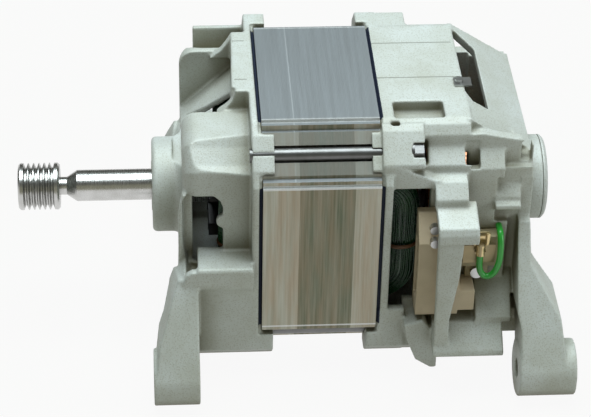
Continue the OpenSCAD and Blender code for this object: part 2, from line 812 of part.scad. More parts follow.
module side_window() {
    top = window_low + side_window_h;
    along_y(-half, 14) polygon([[plate_x - 0.3, top], [plate_x - 0.3, 4], [plate_x + 0.4, -2],
        [plate_x + 2, window_low - 2], [window_edge_x, window_low - 2], [window_edge_x, top - 6],
        [window_edge_x - 1.2, top - 2.6], [window_edge_x - 4, top]]);
}
// Near leg with the ledge above it and the plate beside it
ledge_z = -1.5;
ledge_x = plate_x + 5.8;
module front_leg() {
    leg_x = front_lug_x + 1.4;
    leg_b = front_lug_x + front_lug_l - 0.1;
    along_x(ledge_x, flange_x - ledge_x + 0.5) polygon([[-cup + 3, ledge_z], [hood_y + 1, ledge_z],
        [hood_y, ledge_z - 1], [hood_y, -9.5], [hood_y + 1, -12], [hood_y + 3.5, -15.5],
        [-half, -20], [-half + 4, -20], [-half + 3.5, -14], [hood_y + 4, -9], [hood_y + 4, -5.5],
        [-cup + 3, -5.5]]);
    // Rounded front end of the ledge
    along_y(hood_y + 0.1, 3.5) polygon([[ledge_x + 0.5, ledge_z - 1.2], [plate_x + 3.2, ledge_z - 1.4],
        [plate_x + 1, -4.2], [plate_x - 0.6, -8], [plate_x - 1.6, -12], [ledge_x + 0.5, -14]]);
    along_x(plate_x + 4.6, flange_x - plate_x - 4.1) polygon([[-half + 3.8, -18.5], [-half, -18.5],
        [-half, full_cut - half], [full_cut - half, -half], [-cup + 5, -half],
        [-cup + 5, -half + 4], [full_cut - half + 1.7, -half + 4], [-half + 4, full_cut - half + 1.7]]);
    intersection() {
        along_x(leg_x, leg_b - leg_x) polygon([[-cup + 3, -12], [-cup - 2, -10], [hood_y + 1.5, -7],
            [hood_y + 0.3, -10], [hood_y - 3, -16], [-lug_y - 10.8, -lug_drop + 6.2],
            [-lug_y, -lug_drop], [-lug_y + 11, -lug_drop + 5], [-half + 2, -28], [-cup + 3, -18]]);
        along_y(-half - lug_d, half) polygon([[plate_x - 1.2, -3], [plate_x - 2.4, -6.5],
            [plate_x - 5.2, -14], [plate_x - 8.5, -25], [leg_x + 1.2, -33.5], [leg_x, -43.5],
            [leg_x, -lug_drop], [leg_b, -lug_drop], [leg_b, -3]]);
    }
    lug(front_lug_x, front_lug_l);
}
module hub() {
    edge = 2;
    blend = 4.2;
    // The blend crosses the face of the plate instead of touching it
    blend_sink = 0.06;
    r = hub_d / 2;
    turned() difference() {
        union() {
            translate([0, hub_x + edge]) square([r, plate_x + front_t - hub_x - edge]);
            translate([0, hub_x]) square([r - edge, hub_l]);
            translate([r - edge, hub_x + edge]) circle(r = edge, $fn = 32);
            translate([0, plate_x - blend]) square([r + blend, blend + 1]);
        }
        translate([r + blend, plate_x - blend + blend_sink]) circle(r = blend, $fn = 48);
    }
}
// Gusset from the arm below up to the pad, hollowed along its front edge
module gusset(y0, t, low, x0) {
    along_y(y0, t) polygon([[flange_x + 1, low], [x0, low], [x0 + 5, low + 4], [x0 + 7.2, low + 7],
        [pad_x + 0.4, half], [flange_x + 1, half]]);
}
module drive_end_shield() {
    color([0.78, 0.8, 0.79]) difference() {
        union() {
            difference() {
                union() {
                    cup_solid();
                    along_x(flange_x, flange_t) flange_outline(groove_t);
                    along_x(flange_x, flange_t - groove_w) flange_outline(0);
                    hub();
                }
                intersection() {
                    along_x(plate_x + front_t, stack_x) cavity_shape(cup_wall);
                    turned() square([cup_r - 2, stack_x + 1]);
                }
                top_recess();
                both_sides() side_window();
            }
            recess_floor();
            intersection() {
                along_y(web_far - 0.5, 3.5) polygon([[plate_x, 12], [flange_x, 36], [flange_x, cup],
                    [plate_x, cup]]);
                cup_block();
            }
            // Pad in front of the flange
            along_z(recess_high - 2.5, half - recess_high + 2.5)
                polygon([[pad_x - 1.2, -10.5], [pad_x, web_far - 2.5],
                    [flange_x + 1, web_far - 2.5], [flange_x + 1, -10.5]]);
            gusset(web_near + 1, 4, cup - 2.5, pad_x - 8);
            gusset(web_far - 3.5, 4, cup - 2, pad_x - 9.5);
            // Front rim of the near side window
            along_y(-cup + 0.1, 4.4) polygon([[plate_x - 2.6, -15], [plate_x - 2.2, -2],
                [plate_x - 2.2, 14], [plate_x - 1.4, 22], [plate_x - 0.2, 28], [plate_x + 1.4, 28],
                [plate_x + 1.4, 27.3], [plate_x - 0.4, 25],
                [plate_x - 0.4, 4], [plate_x + 0.2, -2.1], [plate_x + 1.7, -8.3], [plate_x + 4.1, -12],
                [plate_x + 5, -15]]);
            // Corners and tabs of the side windows
            both_sides() {
                along_y(hood_y + 1, 16) polygon([[plate_x - 2.4, -9], [plate_x + 0.6, -6.3],
                    [plate_x + 1.7, -8.4], [plate_x + 4.1, -12.2], [plate_x + 5, -15], [plate_x - 2.4, -15]]);
                translate([window_edge_x + 0.3, -cup + 0.1, 13.5]) rotate([-90, 0, 0])
                    cylinder(r = 3.2, h = 2.8, $fn = 32);
            }
            // Outer wall of the far top channel
            along_x(plate_x + 6.5, flange_x - plate_x - 6) polygon([[cup - 1, cup - 18.5],
                [cup + 3.2, cup - 17], [cup + 3.2, cup + 2.5], [cup + 1, cup + 2.5]]);
            ears(stack_x - groove_w - 0.5, ear_l + groove_w + 0.5);
            both_sides() front_leg();
        }
        rod_x(hub_x - 1, 4, nose_d / 2 + 1.2);
        rod_x(fb_x, plate_x + front_t - fb_x + 1, fb_od / 2 + seat);
        recess_opening();
        corners() rod_x(flange_x - 1, flange_t + ear_l + 2, bolt_d / 2 + seat);
        lug_bores(front_lug_x, front_lug_l);
    }
}

// Commutator-end shield
roof_x = rear_x + roof_l;
wall_x = rear_x + 22;
wall_b = rear_x + 56;
conn_x = rear_x + 16.5;
// Section through roof and side channels, seen along X
module roof_section() {
    q = [[side_y, bolt_c - 8.5], [side_y, bolt_c - 4.8], [bolt_c - 3, bolt_c + 1],
        [bolt_c - 3, bolt_c + 6.2], [bolt_c - 6, bolt_c + 10], [flat, half]];
    inner = [[1 - flat, half - bell_wall], [7 - bolt_c, bolt_c + 4.5], [7 - bolt_c, bolt_c],
        [1.5 - bolt_c, bolt_c - 5]];
    polygon(concat(
        [for (i = [0:5]) [-q[i][0], q[i][1]]],
        [for (i = [5:-1:0]) q[i]],
        [for (i = [3:-1:0]) [-inner[i][0], inner[i][1]]],
        inner));
}
roof_slope = atan(roof_drop / (end_x - 0.5 - roof_x));
pocket_t = 5.5;
module roof() {
    along_x(rear_x + 1, roof_l - 1) roof_section();
    // Thicker roof below the pocket
    translate([rear_x + 5, -37.6, half - pocket_t - 2]) cube([24.5, 14.6, pocket_t]);
    along_y(-39, 78) polygon([[roof_x - 1.2, half], [roof_x, half], [end_x - 0.5, half - roof_drop],
        [end_x - 0.5, half - roof_drop - bell_wall], [roof_x - 1.2, half - bell_wall]]);
    // Rims that run on along the slope, and the channel floor beside the near one
    along_y(-43.5, 5) polygon([[roof_x - 0.7, 52.7], [roof_x + 5, 53.2], [roof_x + 15, 51],
        [roof_x + 22, 49.7], [end_x - 0.2, 47], [end_x - 0.2, 36], [roof_x - 0.7, 36]]);
    along_x(roof_x - 0.8, 15.5) polygon([[-43, 46.9], [-side_y + 0.1, 39.3], [-side_y + 0.1, 34.5],
        [-43, 40]]);
}
module roof_cuts() {
    // Opening in the slope
    along_z(0, stack_w) polygon([[roof_x + 0.3, -17], [roof_x + 0.3, 35], [roof_x + 10, 27],
        [roof_x + 10, -22], [roof_x + 3, -22]]);
    // Pocket beside the near channel
    translate([rear_x + 6.5, -37, half - pocket_t]) cube([21.5, 12.5, pocket_t + 2]);
    // Sunk shoulder of the slope, beside the near rim
    translate([roof_x, 0, half]) rotate([0, roof_slope, 0]) along_x(1.2, 23)
        polygon([[-27, 0.02], [-38.4, -2.8], [-38.4, 6], [-27, 6]]);
    // Openings in the near channel
    translate([roof_x - 2.5, -side_y + 0.6, 30]) cube([6.5, 6.3, 20]);
    translate([end_x - 5.5, -46, 39]) cube([4.4, 9, 10]);
}
module side_beam() {
    along_y(-side_y - 5, 9) polygon([[rear_x + 1, 44.3], [rear_x + 7.5, 44.3], [rear_x + 22.5, 37.6],
        [rear_x + 25, 37.6], [rear_x + 25, 33.4], [rear_x + 1, 33.4]]);
}
// Side wall that carries the connector and the brush gear
module side_wall() {
    along_y(-side_y, 5) polygon([[wall_x, 38.6], [rear_x + 50, 38.6], [rear_x + 50, 12],
        [wall_b, 12], [wall_b, -18], [wall_x, -18]]);
    along_y(-side_y + 3.5, 3.5) polygon([[rear_x + 49, 37.8], [end_x - 0.3, 37.8],
        [end_x - 0.3, -30], [wall_x, -30], [wall_x, -17], [rear_x + 49, -17]]);
    // Stepped gusset
    along_x(rear_x + 49.6, 11) polygon([[-side_y + 4, 30.5], [-side_y - 0.5, 25], [-side_y - 0.5, 23.2],
        [-side_y - 3.4, 22.6], [-side_y - 3.4, 20.6], [-side_y + 4, 16]]);
}
module low_corner() {
    along_x(rear_x + 1, 11.5) polygon([[-half, -29], [-half, full_cut - half], [full_cut - half, -half],
        [-39, -half], [-39, -half + 4], [full_cut - half + 1.7, -half + 4],
        [-half + 4, full_cut - half + 1.7], [-half + 4, -29]]);
    along_x(rear_x + 12, end_x - rear_x - 13) polygon([[-side_y, -29], [-side_y - 4, -33],
        [-side_y - 4, -46], [-39, -54.5], [-39, -50.5], [-side_y, -43.5], [-side_y, -34],
        [-side_y + 3, -29]]);
}
module floor_plate() {
    along_y(-40, 80) polygon([[rear_x + 1.5, -half + 0.2], [roof_x, -half + 0.2],
        [end_x - 0.4, roof_drop - half], [end_x - 0.4, roof_drop - half + bell_wall],
        [roof_x - 1, -half + 4.2], [rear_x + 1.5, -half + 4.2]]);
}
// Strap, post and tray in front of the side wall
module strap() {
    along_x(rear_x + 22.8, 14) polygon([[-side_y + 1, 38.4], [-side_y - 5, 36.8], [-side_y - 11, 31.3],
        [-side_y - 11, 26.5], [-side_y - 7.5, 27], [-side_y - 7.5, 30], [-side_y + 1, 34.5]]);
    along_x(rear_x + 23.3, 17.2) polygon([[-side_y - 7, 28.5], [-side_y - 11, 27.8],
        [-side_y - 16.5, 26], [-side_y - 22, 24.4], [-side_y - 23.5, 21.5], [-side_y - 23.5, 17],
        [-side_y - 20.3, 17], [-side_y - 20.3, 21], [-side_y - 7, 24.8]]);
}
module post() {
    along_y(-side_y - 21, 4) polygon([[rear_x + 23.6, 23.5], [rear_x + 35, 23.5], [rear_x + 33.5, -3],
        [rear_x + 30.5, -25], [rear_x + 30.5, -42], [rear_x + 24.4, -42]]);
}
module tray() {
    along_x(rear_x + 43, 16) polygon([[-side_y + 4.5, -14], [-side_y - 13, -30.6],
        [-side_y - 13.5, -33], [-side_y - 7, -34], [-side_y + 4.5, -20]]);
    along_x(rear_x + 24, 31) polygon([[-side_y - 3, -30], [-side_y - 13, -32.8],
        [-side_y - 23, -41.5], [-side_y - 23.6, -43.8], [-side_y - 20, -44.2], [-side_y - 3, -35]]);
    along_y(-side_y - 14, 12) polygon([[rear_x + 11.8, -33.7], [rear_x + 13.6, -42.2],
        [rear_x + 17.6, -52.7], [rear_x + 24.5, -57.5], [rear_x + 27, -57.5], [rear_x + 27, -40],
        [rear_x + 20, -31]]);
}
module rear_leg() {
    foot = rear_lug_x;
    intersection() {
        along_x(end_x - 7, 30) polygon([[-side_y + 5, 14], [-side_y - 1, 12], [-side_y - 4, 4],
            [-lug_y - 10.8, -lug_drop + 6.2], [-lug_y, -lug_drop], [-lug_y + 11, -lug_drop + 5],
            [-side_y + 2, -27], [-side_y + 5, -27]]);
        along_y(-half - lug_d, half) polygon([[end_x - 5.5, 14], [end_x - 0.2, 14], [end_x + 0.5, -5],
            [end_x + 4.5, -12], [end_x + 13.5, -26], [end_x + 15.5, -40], [end_x + 15.5, -lug_drop],
            [foot + 0.5, -lug_drop], [foot + 0.5, -30], [end_x - 5.5, -24]]);
    }
    lug(foot, rear_lug_l);
}
block_l = bolt_seat + 5.5;
module bell_flange() {
    difference() {
        union() {
            along_x(rear_x, 5) flange_outline(groove_t);
            along_x(rear_x + groove_w, 5 - groove_w) flange_outline(0);
        }
        along_x(rear_x - 1, 7) cavity_shape(0.8);
    }
    ears(rear_x - 4, groove_w + 4.5);
    // Bolt blocks
    along_x(rear_x + 0.5, block_l - 0.5) polygon([[7.5 - bolt_c, bolt_c - 2.5],
        [7.5 - bolt_c, bolt_c + 10.3], [5.5 - bolt_c, half - 0.4], [2.3 - bolt_c, bolt_c + 9.4],
        [-bolt_c - 8.2, bolt_c - 1.1], [-bolt_c - 8.2, bolt_c - 3], [-side_y, bolt_c - 5.5],
        [1.5 - bolt_c, bolt_c - 6.5]]);
    for (s = [[1, 1], [1, -1], [-1, -1]]) along_x(rear_x + 0.5, block_l - 0.5)
        scale([s[0], s[1]]) polygon([[bolt_c - 8, bolt_c + 0.5], [bolt_c - 8, half - 0.3],
            [half - full_cut, half - 0.3], [half - 0.3, half - full_cut],
            [half - 0.3, bolt_c - 8], [bolt_c + 0.5, bolt_c - 8]]);
}
module end_plate() {
    intersection() {
        rod_x(end_x - end_t, end_t, 57);
        translate([end_x - end_t - 1, -side_y + 3.2, -roof_drop - 26])
            cube([end_t + 2, 2 * side_y - 6.4, half + 26]);
    }
}
module commutator_end_shield() {
    color([0.78, 0.8, 0.79]) difference() {
        union() {
            bell_flange();
            difference() {
                roof();
                roof_cuts();
            }
            side_wall();
            mirror([0, 1, 0]) side_wall();
            side_beam();
            mirror([0, 1, 0]) side_beam();
            both_sides() low_corner();
            floor_plate();
            end_plate();
            strap();
            post();
            tray();
            both_sides() rear_leg();
            rod_x(rb_x - 2, cap_x - rb_x + 2, boss_d / 2);
        }
        rod_x(rb_x - 3, rb_w + 3.4, rb_od / 2 + seat);
        rod_x(shoulder_x - 1, 4, rb_od / 2 - 2.6);
        rod_x(pocket_x, sensor_l + 1, rb_od / 2 + 0.5);
        corners() rod_x(rear_x - ear_l - 1, bolt_seat + ear_l + 2, bolt_hole);
        corners() rod_x(seat_x, block_l - bolt_seat + 1.5, bolt_sink_d / 2);
        lug_bores(rear_lug_x, rear_lug_l);
        both_sides() brush_opening();
        // Notch in the near bolt block
        translate([rear_x + 4.4, -41.5, half - 4.5]) cube([4, 3, 6]);
    }
}

// Brush gear
tube_y = comm_d / 2 + 3.5;
cap_y = side_y + 6;
holder_in = comm_d / 2 + 8;
inner_w = brush_w + 2 * brush_clear;
inner_t = brush_t + 2 * brush_clear;
screw_z = -holder_h / 2 - 4;
module box_y(y0, l, w, h) {
    translate([brush_x - w / 2, y0, -h / 2]) cube([w, l, h]);
}
module brush_opening() {
    box_y(-half, half - 30, holder_w + 0.6, holder_h + 0.6);
    translate([brush_x, -side_y - 1, screw_z]) rotate([-90, 0, 0])
        cylinder(d = screw_d + 2 * seat, h = bell_wall + 2, $fn = 32);
}
module brush_holder() {
    difference() {
        union() {
            box_y(-cap_y + 0.5, cap_y - 0.5 - holder_in, holder_w, holder_h);
            // Foot that a screw holds on the side wall
            translate([brush_x - foot_w / 2, -side_y - foot_t - 0.1, screw_z - screw_head_d / 2 - 0.7])
                cube([foot_w, foot_t, holder_h / 2 - screw_z]);
        }
        box_y(-cap_y, cap_y, inner_w + 2 * tube_wall + 0.1, inner_t + 2 * tube_wall + 0.1);
        translate([brush_x, -side_y - foot_t - 1, screw_z]) rotate([-90, 0, 0])
            cylinder(d = screw_d + 0.4, h = foot_t + 2, $fn = 32);
    }
}
module brush_tube() {
    difference() {
        box_y(-cap_y, cap_y - tube_y, inner_w + 2 * tube_wall, inner_t + 2 * tube_wall);
        box_y(-cap_y - 1, cap_y, inner_w, inner_t);
    }
}
brush_back = comm_d / 2 + brush_l;
crimp_z = 1.4;
module brush() {
    difference() {
        box_y(-brush_back, brush_l + 2, brush_w, brush_t);
        rod_x(comm_x - 1, comm_l + 4, comm_d / 2 + 0.1);
    }
}
module brush_spring() {
    n = spring_curls * 8;
    r = brush_t / 2 - spring_wire / 2 - 0.1;
    y0 = brush_back + spring_wire / 2 + 0.05;
    y1 = cap_y - spring_wire / 2 - 0.05;
    path = [for (i = [0:n]) [brush_x + r * cos(i * 45), -(y0 + (y1 - y0) * i / n), r * sin(i * 45)]];
    echo(str("Gap between the curls of a brush spring: ", (y1 - y0) / spring_curls - spring_wire, " mm"));
    swept(path, spring_wire / 2, 6, [0, 1, 0]);
}
module brush_cap() {
    box_y(-cap_y - 1.2, 1.15, inner_w + 1, inner_t + 4);
    // Terminal tag and crimp for the lead
    translate([brush_x - 2.5, -cap_y - 4, crimp_z + 0.8]) cube([5, 2.9, 0.8]);
    translate([brush_x, -cap_y - 3.6, crimp_z]) cylinder(d = 3.4, h = 6.2, $fn = 32);
}
module near_brush_holder() {
    color([0.76, 0.7, 0.56]) brush_holder();
}
module far_brush_holder() {
    color([0.76, 0.7, 0.56]) mirror([0, 1, 0]) brush_holder();
}
module near_brush_tube() {
    color([0.8, 0.65, 0.35]) brush_tube();
}
module far_brush_tube() {
    color([0.8, 0.65, 0.35]) mirror([0, 1, 0]) brush_tube();
}
module near_brush() {
    color([0.15, 0.15, 0.16]) brush();
}
module far_brush() {
    color([0.15, 0.15, 0.16]) mirror([0, 1, 0]) brush();
}
module near_brush_spring() {
    color([0.7, 0.7, 0.72]) brush_spring();
}
module far_brush_spring() {
    color([0.7, 0.7, 0.72]) mirror([0, 1, 0]) brush_spring();
}
module near_brush_cap() {
    color([0.8, 0.65, 0.35]) brush_cap();
}
module far_brush_cap() {
    color([0.8, 0.65, 0.35]) mirror([0, 1, 0]) brush_cap();
}
module holder_screws() {
    head = side_y + foot_t + 0.1;
    color([0.75, 0.75, 0.75]) both_sides() translate([brush_x, 0, screw_z]) rotate([-90, 0, 0]) {
        translate([0, 0, -head]) cylinder(d = screw_d, h = foot_t + 0.1 + bell_wall, $fn = 32);
        translate([0, 0, -head - screw_head_h]) cylinder(d = screw_head_d, h = screw_head_h, $fn = 32);
    }
}
// Lead that hangs from the crimp in a loop and runs up over the holder, as points chosen by hand
lead_d = 2.8;
lead_points = [[0, -59.6, 1.4], [0, -59.6, -1.5], [0, -59.8, -4.4], [0.6, -60.2, -7.2],
    [2.2, -60.5, -9.2], [4.4, -60.6, -9.4], [6.6, -60.4, -7.6], [8, -60, -4.4], [8.7, -59.5, -0.6],
    [8.8, -59, 3.4], [8.8, -58, 7], [8.7, -56.2, 9.6], [8.7, -54.2, 10.2], [8.7, -50.05, 10.2]];
function lead_path() = [for (p = lead_points) [brush_x + p[0], p[1], p[2]]];
module brush_lead() {
    swept(lead_path(), lead_d / 2, 8, [0.2, 1, 0.1]);
}
module near_brush_lead() {
    color([0.15, 0.65, 0.2]) brush_lead();
}
module far_brush_lead() {
    color([0.15, 0.65, 0.2]) mirror([0, 1, 0]) brush_lead();
}

// Connector, with its socket open towards the drive end
conn_y = side_y + 0.05;
conn_face = conn_y + conn_depth;
conn_mid = conn_top - 10.7;
conn_low = conn_top - conn_h;
module connector_housing() {
    color([0.8, 0.75, 0.6]) difference() {
        union() {
            along_x(conn_x, conn_w) polygon([[-conn_y, conn_top], [-conn_y - 4, conn_top],
                [-conn_face, conn_mid], [-conn_face, conn_low], [-conn_y, conn_low]]);
            translate([conn_x + conn_w - 1, -conn_face, conn_low + 2])
                cube([8, conn_depth, 10.5]);
        }
        translate([conn_x - 1, -conn_face + conn_wall, conn_low + 5])
            cube([socket_l + 1, conn_depth - 2 * conn_wall, conn_mid - conn_low - 7]);
        screw_spots() translate([0, 0, -seat]) cylinder(d = conn_screw_d + 2 * seat, h = 6, $fn = 32);
    }
}
module connector_contacts() {
    pitch = (conn_mid - conn_low - 9) / contacts;
    color([0.85, 0.85, 0.8]) for (i = [0:contacts - 1])
        translate([conn_x + socket_l - contact_l, -conn_y - (conn_depth + contact_w) / 2,
            conn_low + 7 + i * pitch])
            cube([contact_l, contact_w, contact_t]);
}
module screw_spots() {
    for (z = [conn_mid + 0.6, conn_mid + 5.6])
        translate([conn_x + 6.8, -conn_face + (z - conn_mid) * 0.6 + 1.5, z]) rotate([90, 0, 0])
            children();
}
module connector_screw() {
    color([0.85, 0.85, 0.85]) screw_spots() cylinder(d = conn_screw_d, h = 3, $fn = 32);
}
module field_leads() {
    // Two leads from the coil end to the back of the connector
    start = wire_y + wire_d / 2 + 0.1;
    color([0.2, 0.35, 0.2]) for (i = [0, 1])
        swept([for (q = [[0, 0], [1.9, 0], [3, -0.8], [4.1, -1.6], [conn_y - start, -1.6]])
            [conn_x + 1.4, -start - q[0], 12 + q[1] - 6 * i]], 0.9, 8, [0, 0, 1]);
}

// Speed sensor
module sensor_magnet() {
    color([0.2, 0.2, 0.22]) ring_x(magnet_x, magnet_l, magnet_d / 2, spigot_d / 2 + seat);
}
module sensor_coil() {
    color([0.85, 0.85, 0.8])
        ring_x(pocket_x + 0.05, magnet_l + 0.9, rb_od / 2 + 0.5 - seat, magnet_d / 2 + 1);
}
module sensor_cap() {
    bevel = 1.2;
    plug = rb_od / 2 + 0.5 - seat;
    color([0.78, 0.8, 0.79]) turned() polygon([[0, cap_x - 1], [plug, cap_x - 1], [plug, cap_x],
        [boss_d / 2, cap_x], [boss_d / 2, cap_x + cap_t - bevel],
        [boss_d / 2 - bevel, cap_x + cap_t], [0, cap_x + cap_t]]);
}

// Earth tab on the roof
tab_x = roof_x - 4;
tab_w = 6.3;
tab_t = 0.8;
module earth_tab() {
    color([0.85, 0.85, 0.82]) translate([tab_x, -14, half]) cube([7.5, tab_w, tab_t]);
}
module earth_screw() {
    color([0.8, 0.8, 0.8]) translate([tab_x + 2.2, -14 + tab_w / 2, half + tab_t])
        cylinder(d = 3.6, h = 1.4, $fn = 32);
}

drive_end_shield();
commutator_end_shield();
stator_core();
slot_liners();
near_coil_body();
near_coil_turns();
far_coil_body();
far_coil_turns();
coil_lacing();
through_bolts();
bolt_washers();
shaft();
drive_pulley();
rotor_core();
rotor_end_discs();
rotor_winding();
slot_wedges();
cooling_fan();
commutator_hub();
commutator_bars();
front_bearing_outer_race();
front_bearing_inner_race();
front_bearing_balls();
front_bearing_cage();
front_bearing_seals();
rear_bearing_outer_race();
rear_bearing_inner_race();
rear_bearing_balls();
rear_bearing_cage();
rear_bearing_seals();
wave_washer();
near_brush_holder();
far_brush_holder();
near_brush_tube();
far_brush_tube();
near_brush();
far_brush();
near_brush_spring();
far_brush_spring();
near_brush_cap();
far_brush_cap();
holder_screws();
near_brush_lead();
far_brush_lead();
connector_housing();
connector_contacts();
connector_screw();
field_leads();
sensor_magnet();
sensor_coil();
sensor_cap();
earth_tab();
earth_screw();
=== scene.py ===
import json
import math
import random
import bpy
import bmesh
from mathutils import Matrix, Vector


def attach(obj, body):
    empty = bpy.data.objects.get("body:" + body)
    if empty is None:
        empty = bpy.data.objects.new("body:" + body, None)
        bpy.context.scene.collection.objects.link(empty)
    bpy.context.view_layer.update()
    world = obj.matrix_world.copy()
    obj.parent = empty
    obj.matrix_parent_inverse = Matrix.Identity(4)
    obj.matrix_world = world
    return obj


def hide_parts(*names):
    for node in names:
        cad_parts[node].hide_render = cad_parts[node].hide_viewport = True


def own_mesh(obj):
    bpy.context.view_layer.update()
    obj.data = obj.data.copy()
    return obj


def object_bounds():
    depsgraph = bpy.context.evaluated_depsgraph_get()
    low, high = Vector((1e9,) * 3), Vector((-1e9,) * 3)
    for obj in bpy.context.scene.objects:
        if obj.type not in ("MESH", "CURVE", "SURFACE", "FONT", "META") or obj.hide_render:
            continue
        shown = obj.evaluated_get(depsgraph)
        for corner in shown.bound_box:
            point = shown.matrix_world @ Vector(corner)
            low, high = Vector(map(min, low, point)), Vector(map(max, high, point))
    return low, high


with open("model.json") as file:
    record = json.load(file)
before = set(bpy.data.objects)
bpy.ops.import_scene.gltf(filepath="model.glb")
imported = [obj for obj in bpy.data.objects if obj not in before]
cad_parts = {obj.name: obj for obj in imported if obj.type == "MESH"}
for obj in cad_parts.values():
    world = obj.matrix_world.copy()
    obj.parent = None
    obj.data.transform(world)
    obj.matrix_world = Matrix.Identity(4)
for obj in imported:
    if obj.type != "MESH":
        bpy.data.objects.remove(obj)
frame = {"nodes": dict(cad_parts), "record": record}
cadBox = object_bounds()
nodes = frame["nodes"]
mm = 0.001
print("frame loaded:", len(nodes), "nodes")


# helpers for node trees

def feed(tree, socket, value):
    # sets a number or a colour on a socket, or links another node's output to it
    if isinstance(value, tuple):
        socket.default_value = (*value, 1)
    elif isinstance(value, (int, float)):
        socket.default_value = value
    else:
        tree.links.new(value, socket)


def mathNode(tree, kind, first, second=None):
    node = tree.nodes.new("ShaderNodeMath")
    node.operation = kind
    feed(tree, node.inputs[0], first)
    if second is not None:
        feed(tree, node.inputs[1], second)
    return node.outputs[0]


def newMaterial(name):
    material = bpy.data.materials.new(name)
    material.use_nodes = True
    tree = material.node_tree
    return material, tree, tree.nodes["Principled BSDF"]


def mixSurfaces(tree, outputName, factor, first, second):
    mix = tree.nodes.new("ShaderNodeMixShader")
    for socket, source in zip(mix.inputs, (factor, first, second)):
        tree.links.new(source, socket)
    tree.links.new(mix.outputs[0], tree.nodes[outputName].inputs["Surface"])


# camera, lights and floor; the camera stands where the photograph was taken from, in millimetres and degrees

view = {"target": (114.9, 0, -15.36), "distance": 999.13, "azimuth": -4.205, "elevation": 36.043,
        "roll": 1.234, "lens": 134.0, "sensorWidth": 36, "clip": (0.02, 30)}
lampAim = (0.11, 0, 0)
lamps = [
    {"name": "softTop", "place": (0.10, 0.10, 1.0), "size": 0.7, "power": 12.5, "colour": (0.88, 0.98, 1.0)},
    {"name": "frontFill", "place": (-0.2, -1.1, 0.35), "size": 0.8, "power": 0.5, "colour": (1.0, 0.98, 0.7)},
    {"name": "sideFill", "place": (1.3, -0.55, 0.38), "size": 0.6, "power": 4.5, "colour": (0.93, 0.99, 1.0)},
]
worldLook = {"colour": (1.0, 1.0, 0.86), "strength": 0.09}
floorLook = {"colour": (0.34, 0.34, 0.28), "roughness": 0.9, "lift": 0.93, "reach": 4, "below": 0.0002}


def makeCamera():
    azimuth, elevation, roll = (math.radians(view[k]) for k in ("azimuth", "elevation", "roll"))
    back = Vector((math.sin(azimuth) * math.cos(elevation), -math.cos(azimuth) * math.cos(elevation),
                   math.sin(elevation)))
    right = Vector((math.cos(azimuth), math.sin(azimuth), 0))
    up = back.cross(right)
    turnedRight = math.cos(roll) * right + math.sin(roll) * up
    turnedUp = -math.sin(roll) * right + math.cos(roll) * up
    place = Vector(view["target"]) * mm + back * view["distance"] * mm
    data = bpy.data.cameras.new("photoCamera")
    data.lens = view["lens"]
    data.sensor_width = view["sensorWidth"]
    data.clip_start, data.clip_end = view["clip"]
    camera = bpy.data.objects.new("photoCamera", data)
    bpy.context.scene.collection.objects.link(camera)
    rows = [(turnedRight[i], turnedUp[i], back[i], place[i]) for i in range(3)] + [(0, 0, 0, 1)]
    camera.matrix_world = Matrix(rows)
    bpy.context.scene.camera = camera


def makeLamp(lamp):
    data = bpy.data.lights.new(lamp["name"], "AREA")
    data.shape = "SQUARE"
    data.size, data.energy, data.color = lamp["size"], lamp["power"], lamp["colour"]
    light = bpy.data.objects.new(lamp["name"], data)
    bpy.context.scene.collection.objects.link(light)
    light.location = lamp["place"]
    aim = Vector(lampAim) - Vector(lamp["place"])
    light.rotation_euler = aim.to_track_quat("-Z", "Y").to_euler()


def makeFloor():
    # pale floor that camera and mirror rays see lifted towards white
    material, tree, shader = newMaterial("paleFloor")
    shader.inputs["Base Color"].default_value = (*floorLook["colour"], 1)
    shader.inputs["Roughness"].default_value = floorLook["roughness"]
    glow = tree.nodes.new("ShaderNodeEmission")
    glow.inputs["Color"].default_value = (1, 1, 1, 1)
    rays = tree.nodes.new("ShaderNodeLightPath").outputs
    seen = mathNode(tree, "MAXIMUM", rays["Is Camera Ray"], rays["Is Glossy Ray"])
    lift = mathNode(tree, "MULTIPLY", seen, floorLook["lift"])
    mixSurfaces(tree, "Material Output", lift, shader.outputs[0], glow.outputs[0])
    mesh = bpy.data.meshes.new("floor")
    level, reach = cadBox[0].z - floorLook["below"], floorLook["reach"]
    corners = [(x * reach, y * reach, level) for x, y in ((-1, -1), (1, -1), (1, 1), (-1, 1))]
    mesh.from_pydata(corners, [], [(0, 1, 2, 3)])
    floor = bpy.data.objects.new("floor", mesh)
    bpy.context.scene.collection.objects.link(floor)
    mesh.materials.append(material)


def makeWorld():
    # a faint fill for the object, and white for the camera
    world = bpy.data.worlds.new("studio")
    bpy.context.scene.world = world
    world.use_nodes = True
    tree = world.node_tree
    plain = tree.nodes["Background"]
    plain.inputs["Color"].default_value = (*worldLook["colour"], 1)
    plain.inputs["Strength"].default_value = worldLook["strength"]
    white = tree.nodes.new("ShaderNodeBackground")
    white.inputs["Color"].default_value = (1, 1, 1, 1)
    white.inputs["Strength"].default_value = 1.0
    rays = tree.nodes.new("ShaderNodeLightPath").outputs
    mixSurfaces(tree, "World Output", rays["Is Camera Ray"], plain.outputs[0], white.outputs[0])


bpy.context.scene.view_settings.view_transform = "Standard"
makeCamera()
for lamp in lamps:
    makeLamp(lamp)
makeWorld()
makeFloor()
print("camera, lights and floor ready")


# shader node groups: masks and heights that the materials share, with places in metres

def openGroup(name, inputs):
    # a vector's first value is a tuple, a number's is a number
    group = bpy.data.node_groups.new(name, "ShaderNodeTree")
    for label, value in inputs.items():
        kind = "NodeSocketVector" if isinstance(value, tuple) else "NodeSocketFloat"
        socket = group.interface.new_socket(label, in_out="INPUT", socket_type=kind)
        socket.default_value = value
    return group, group.nodes.new("NodeGroupInput").outputs


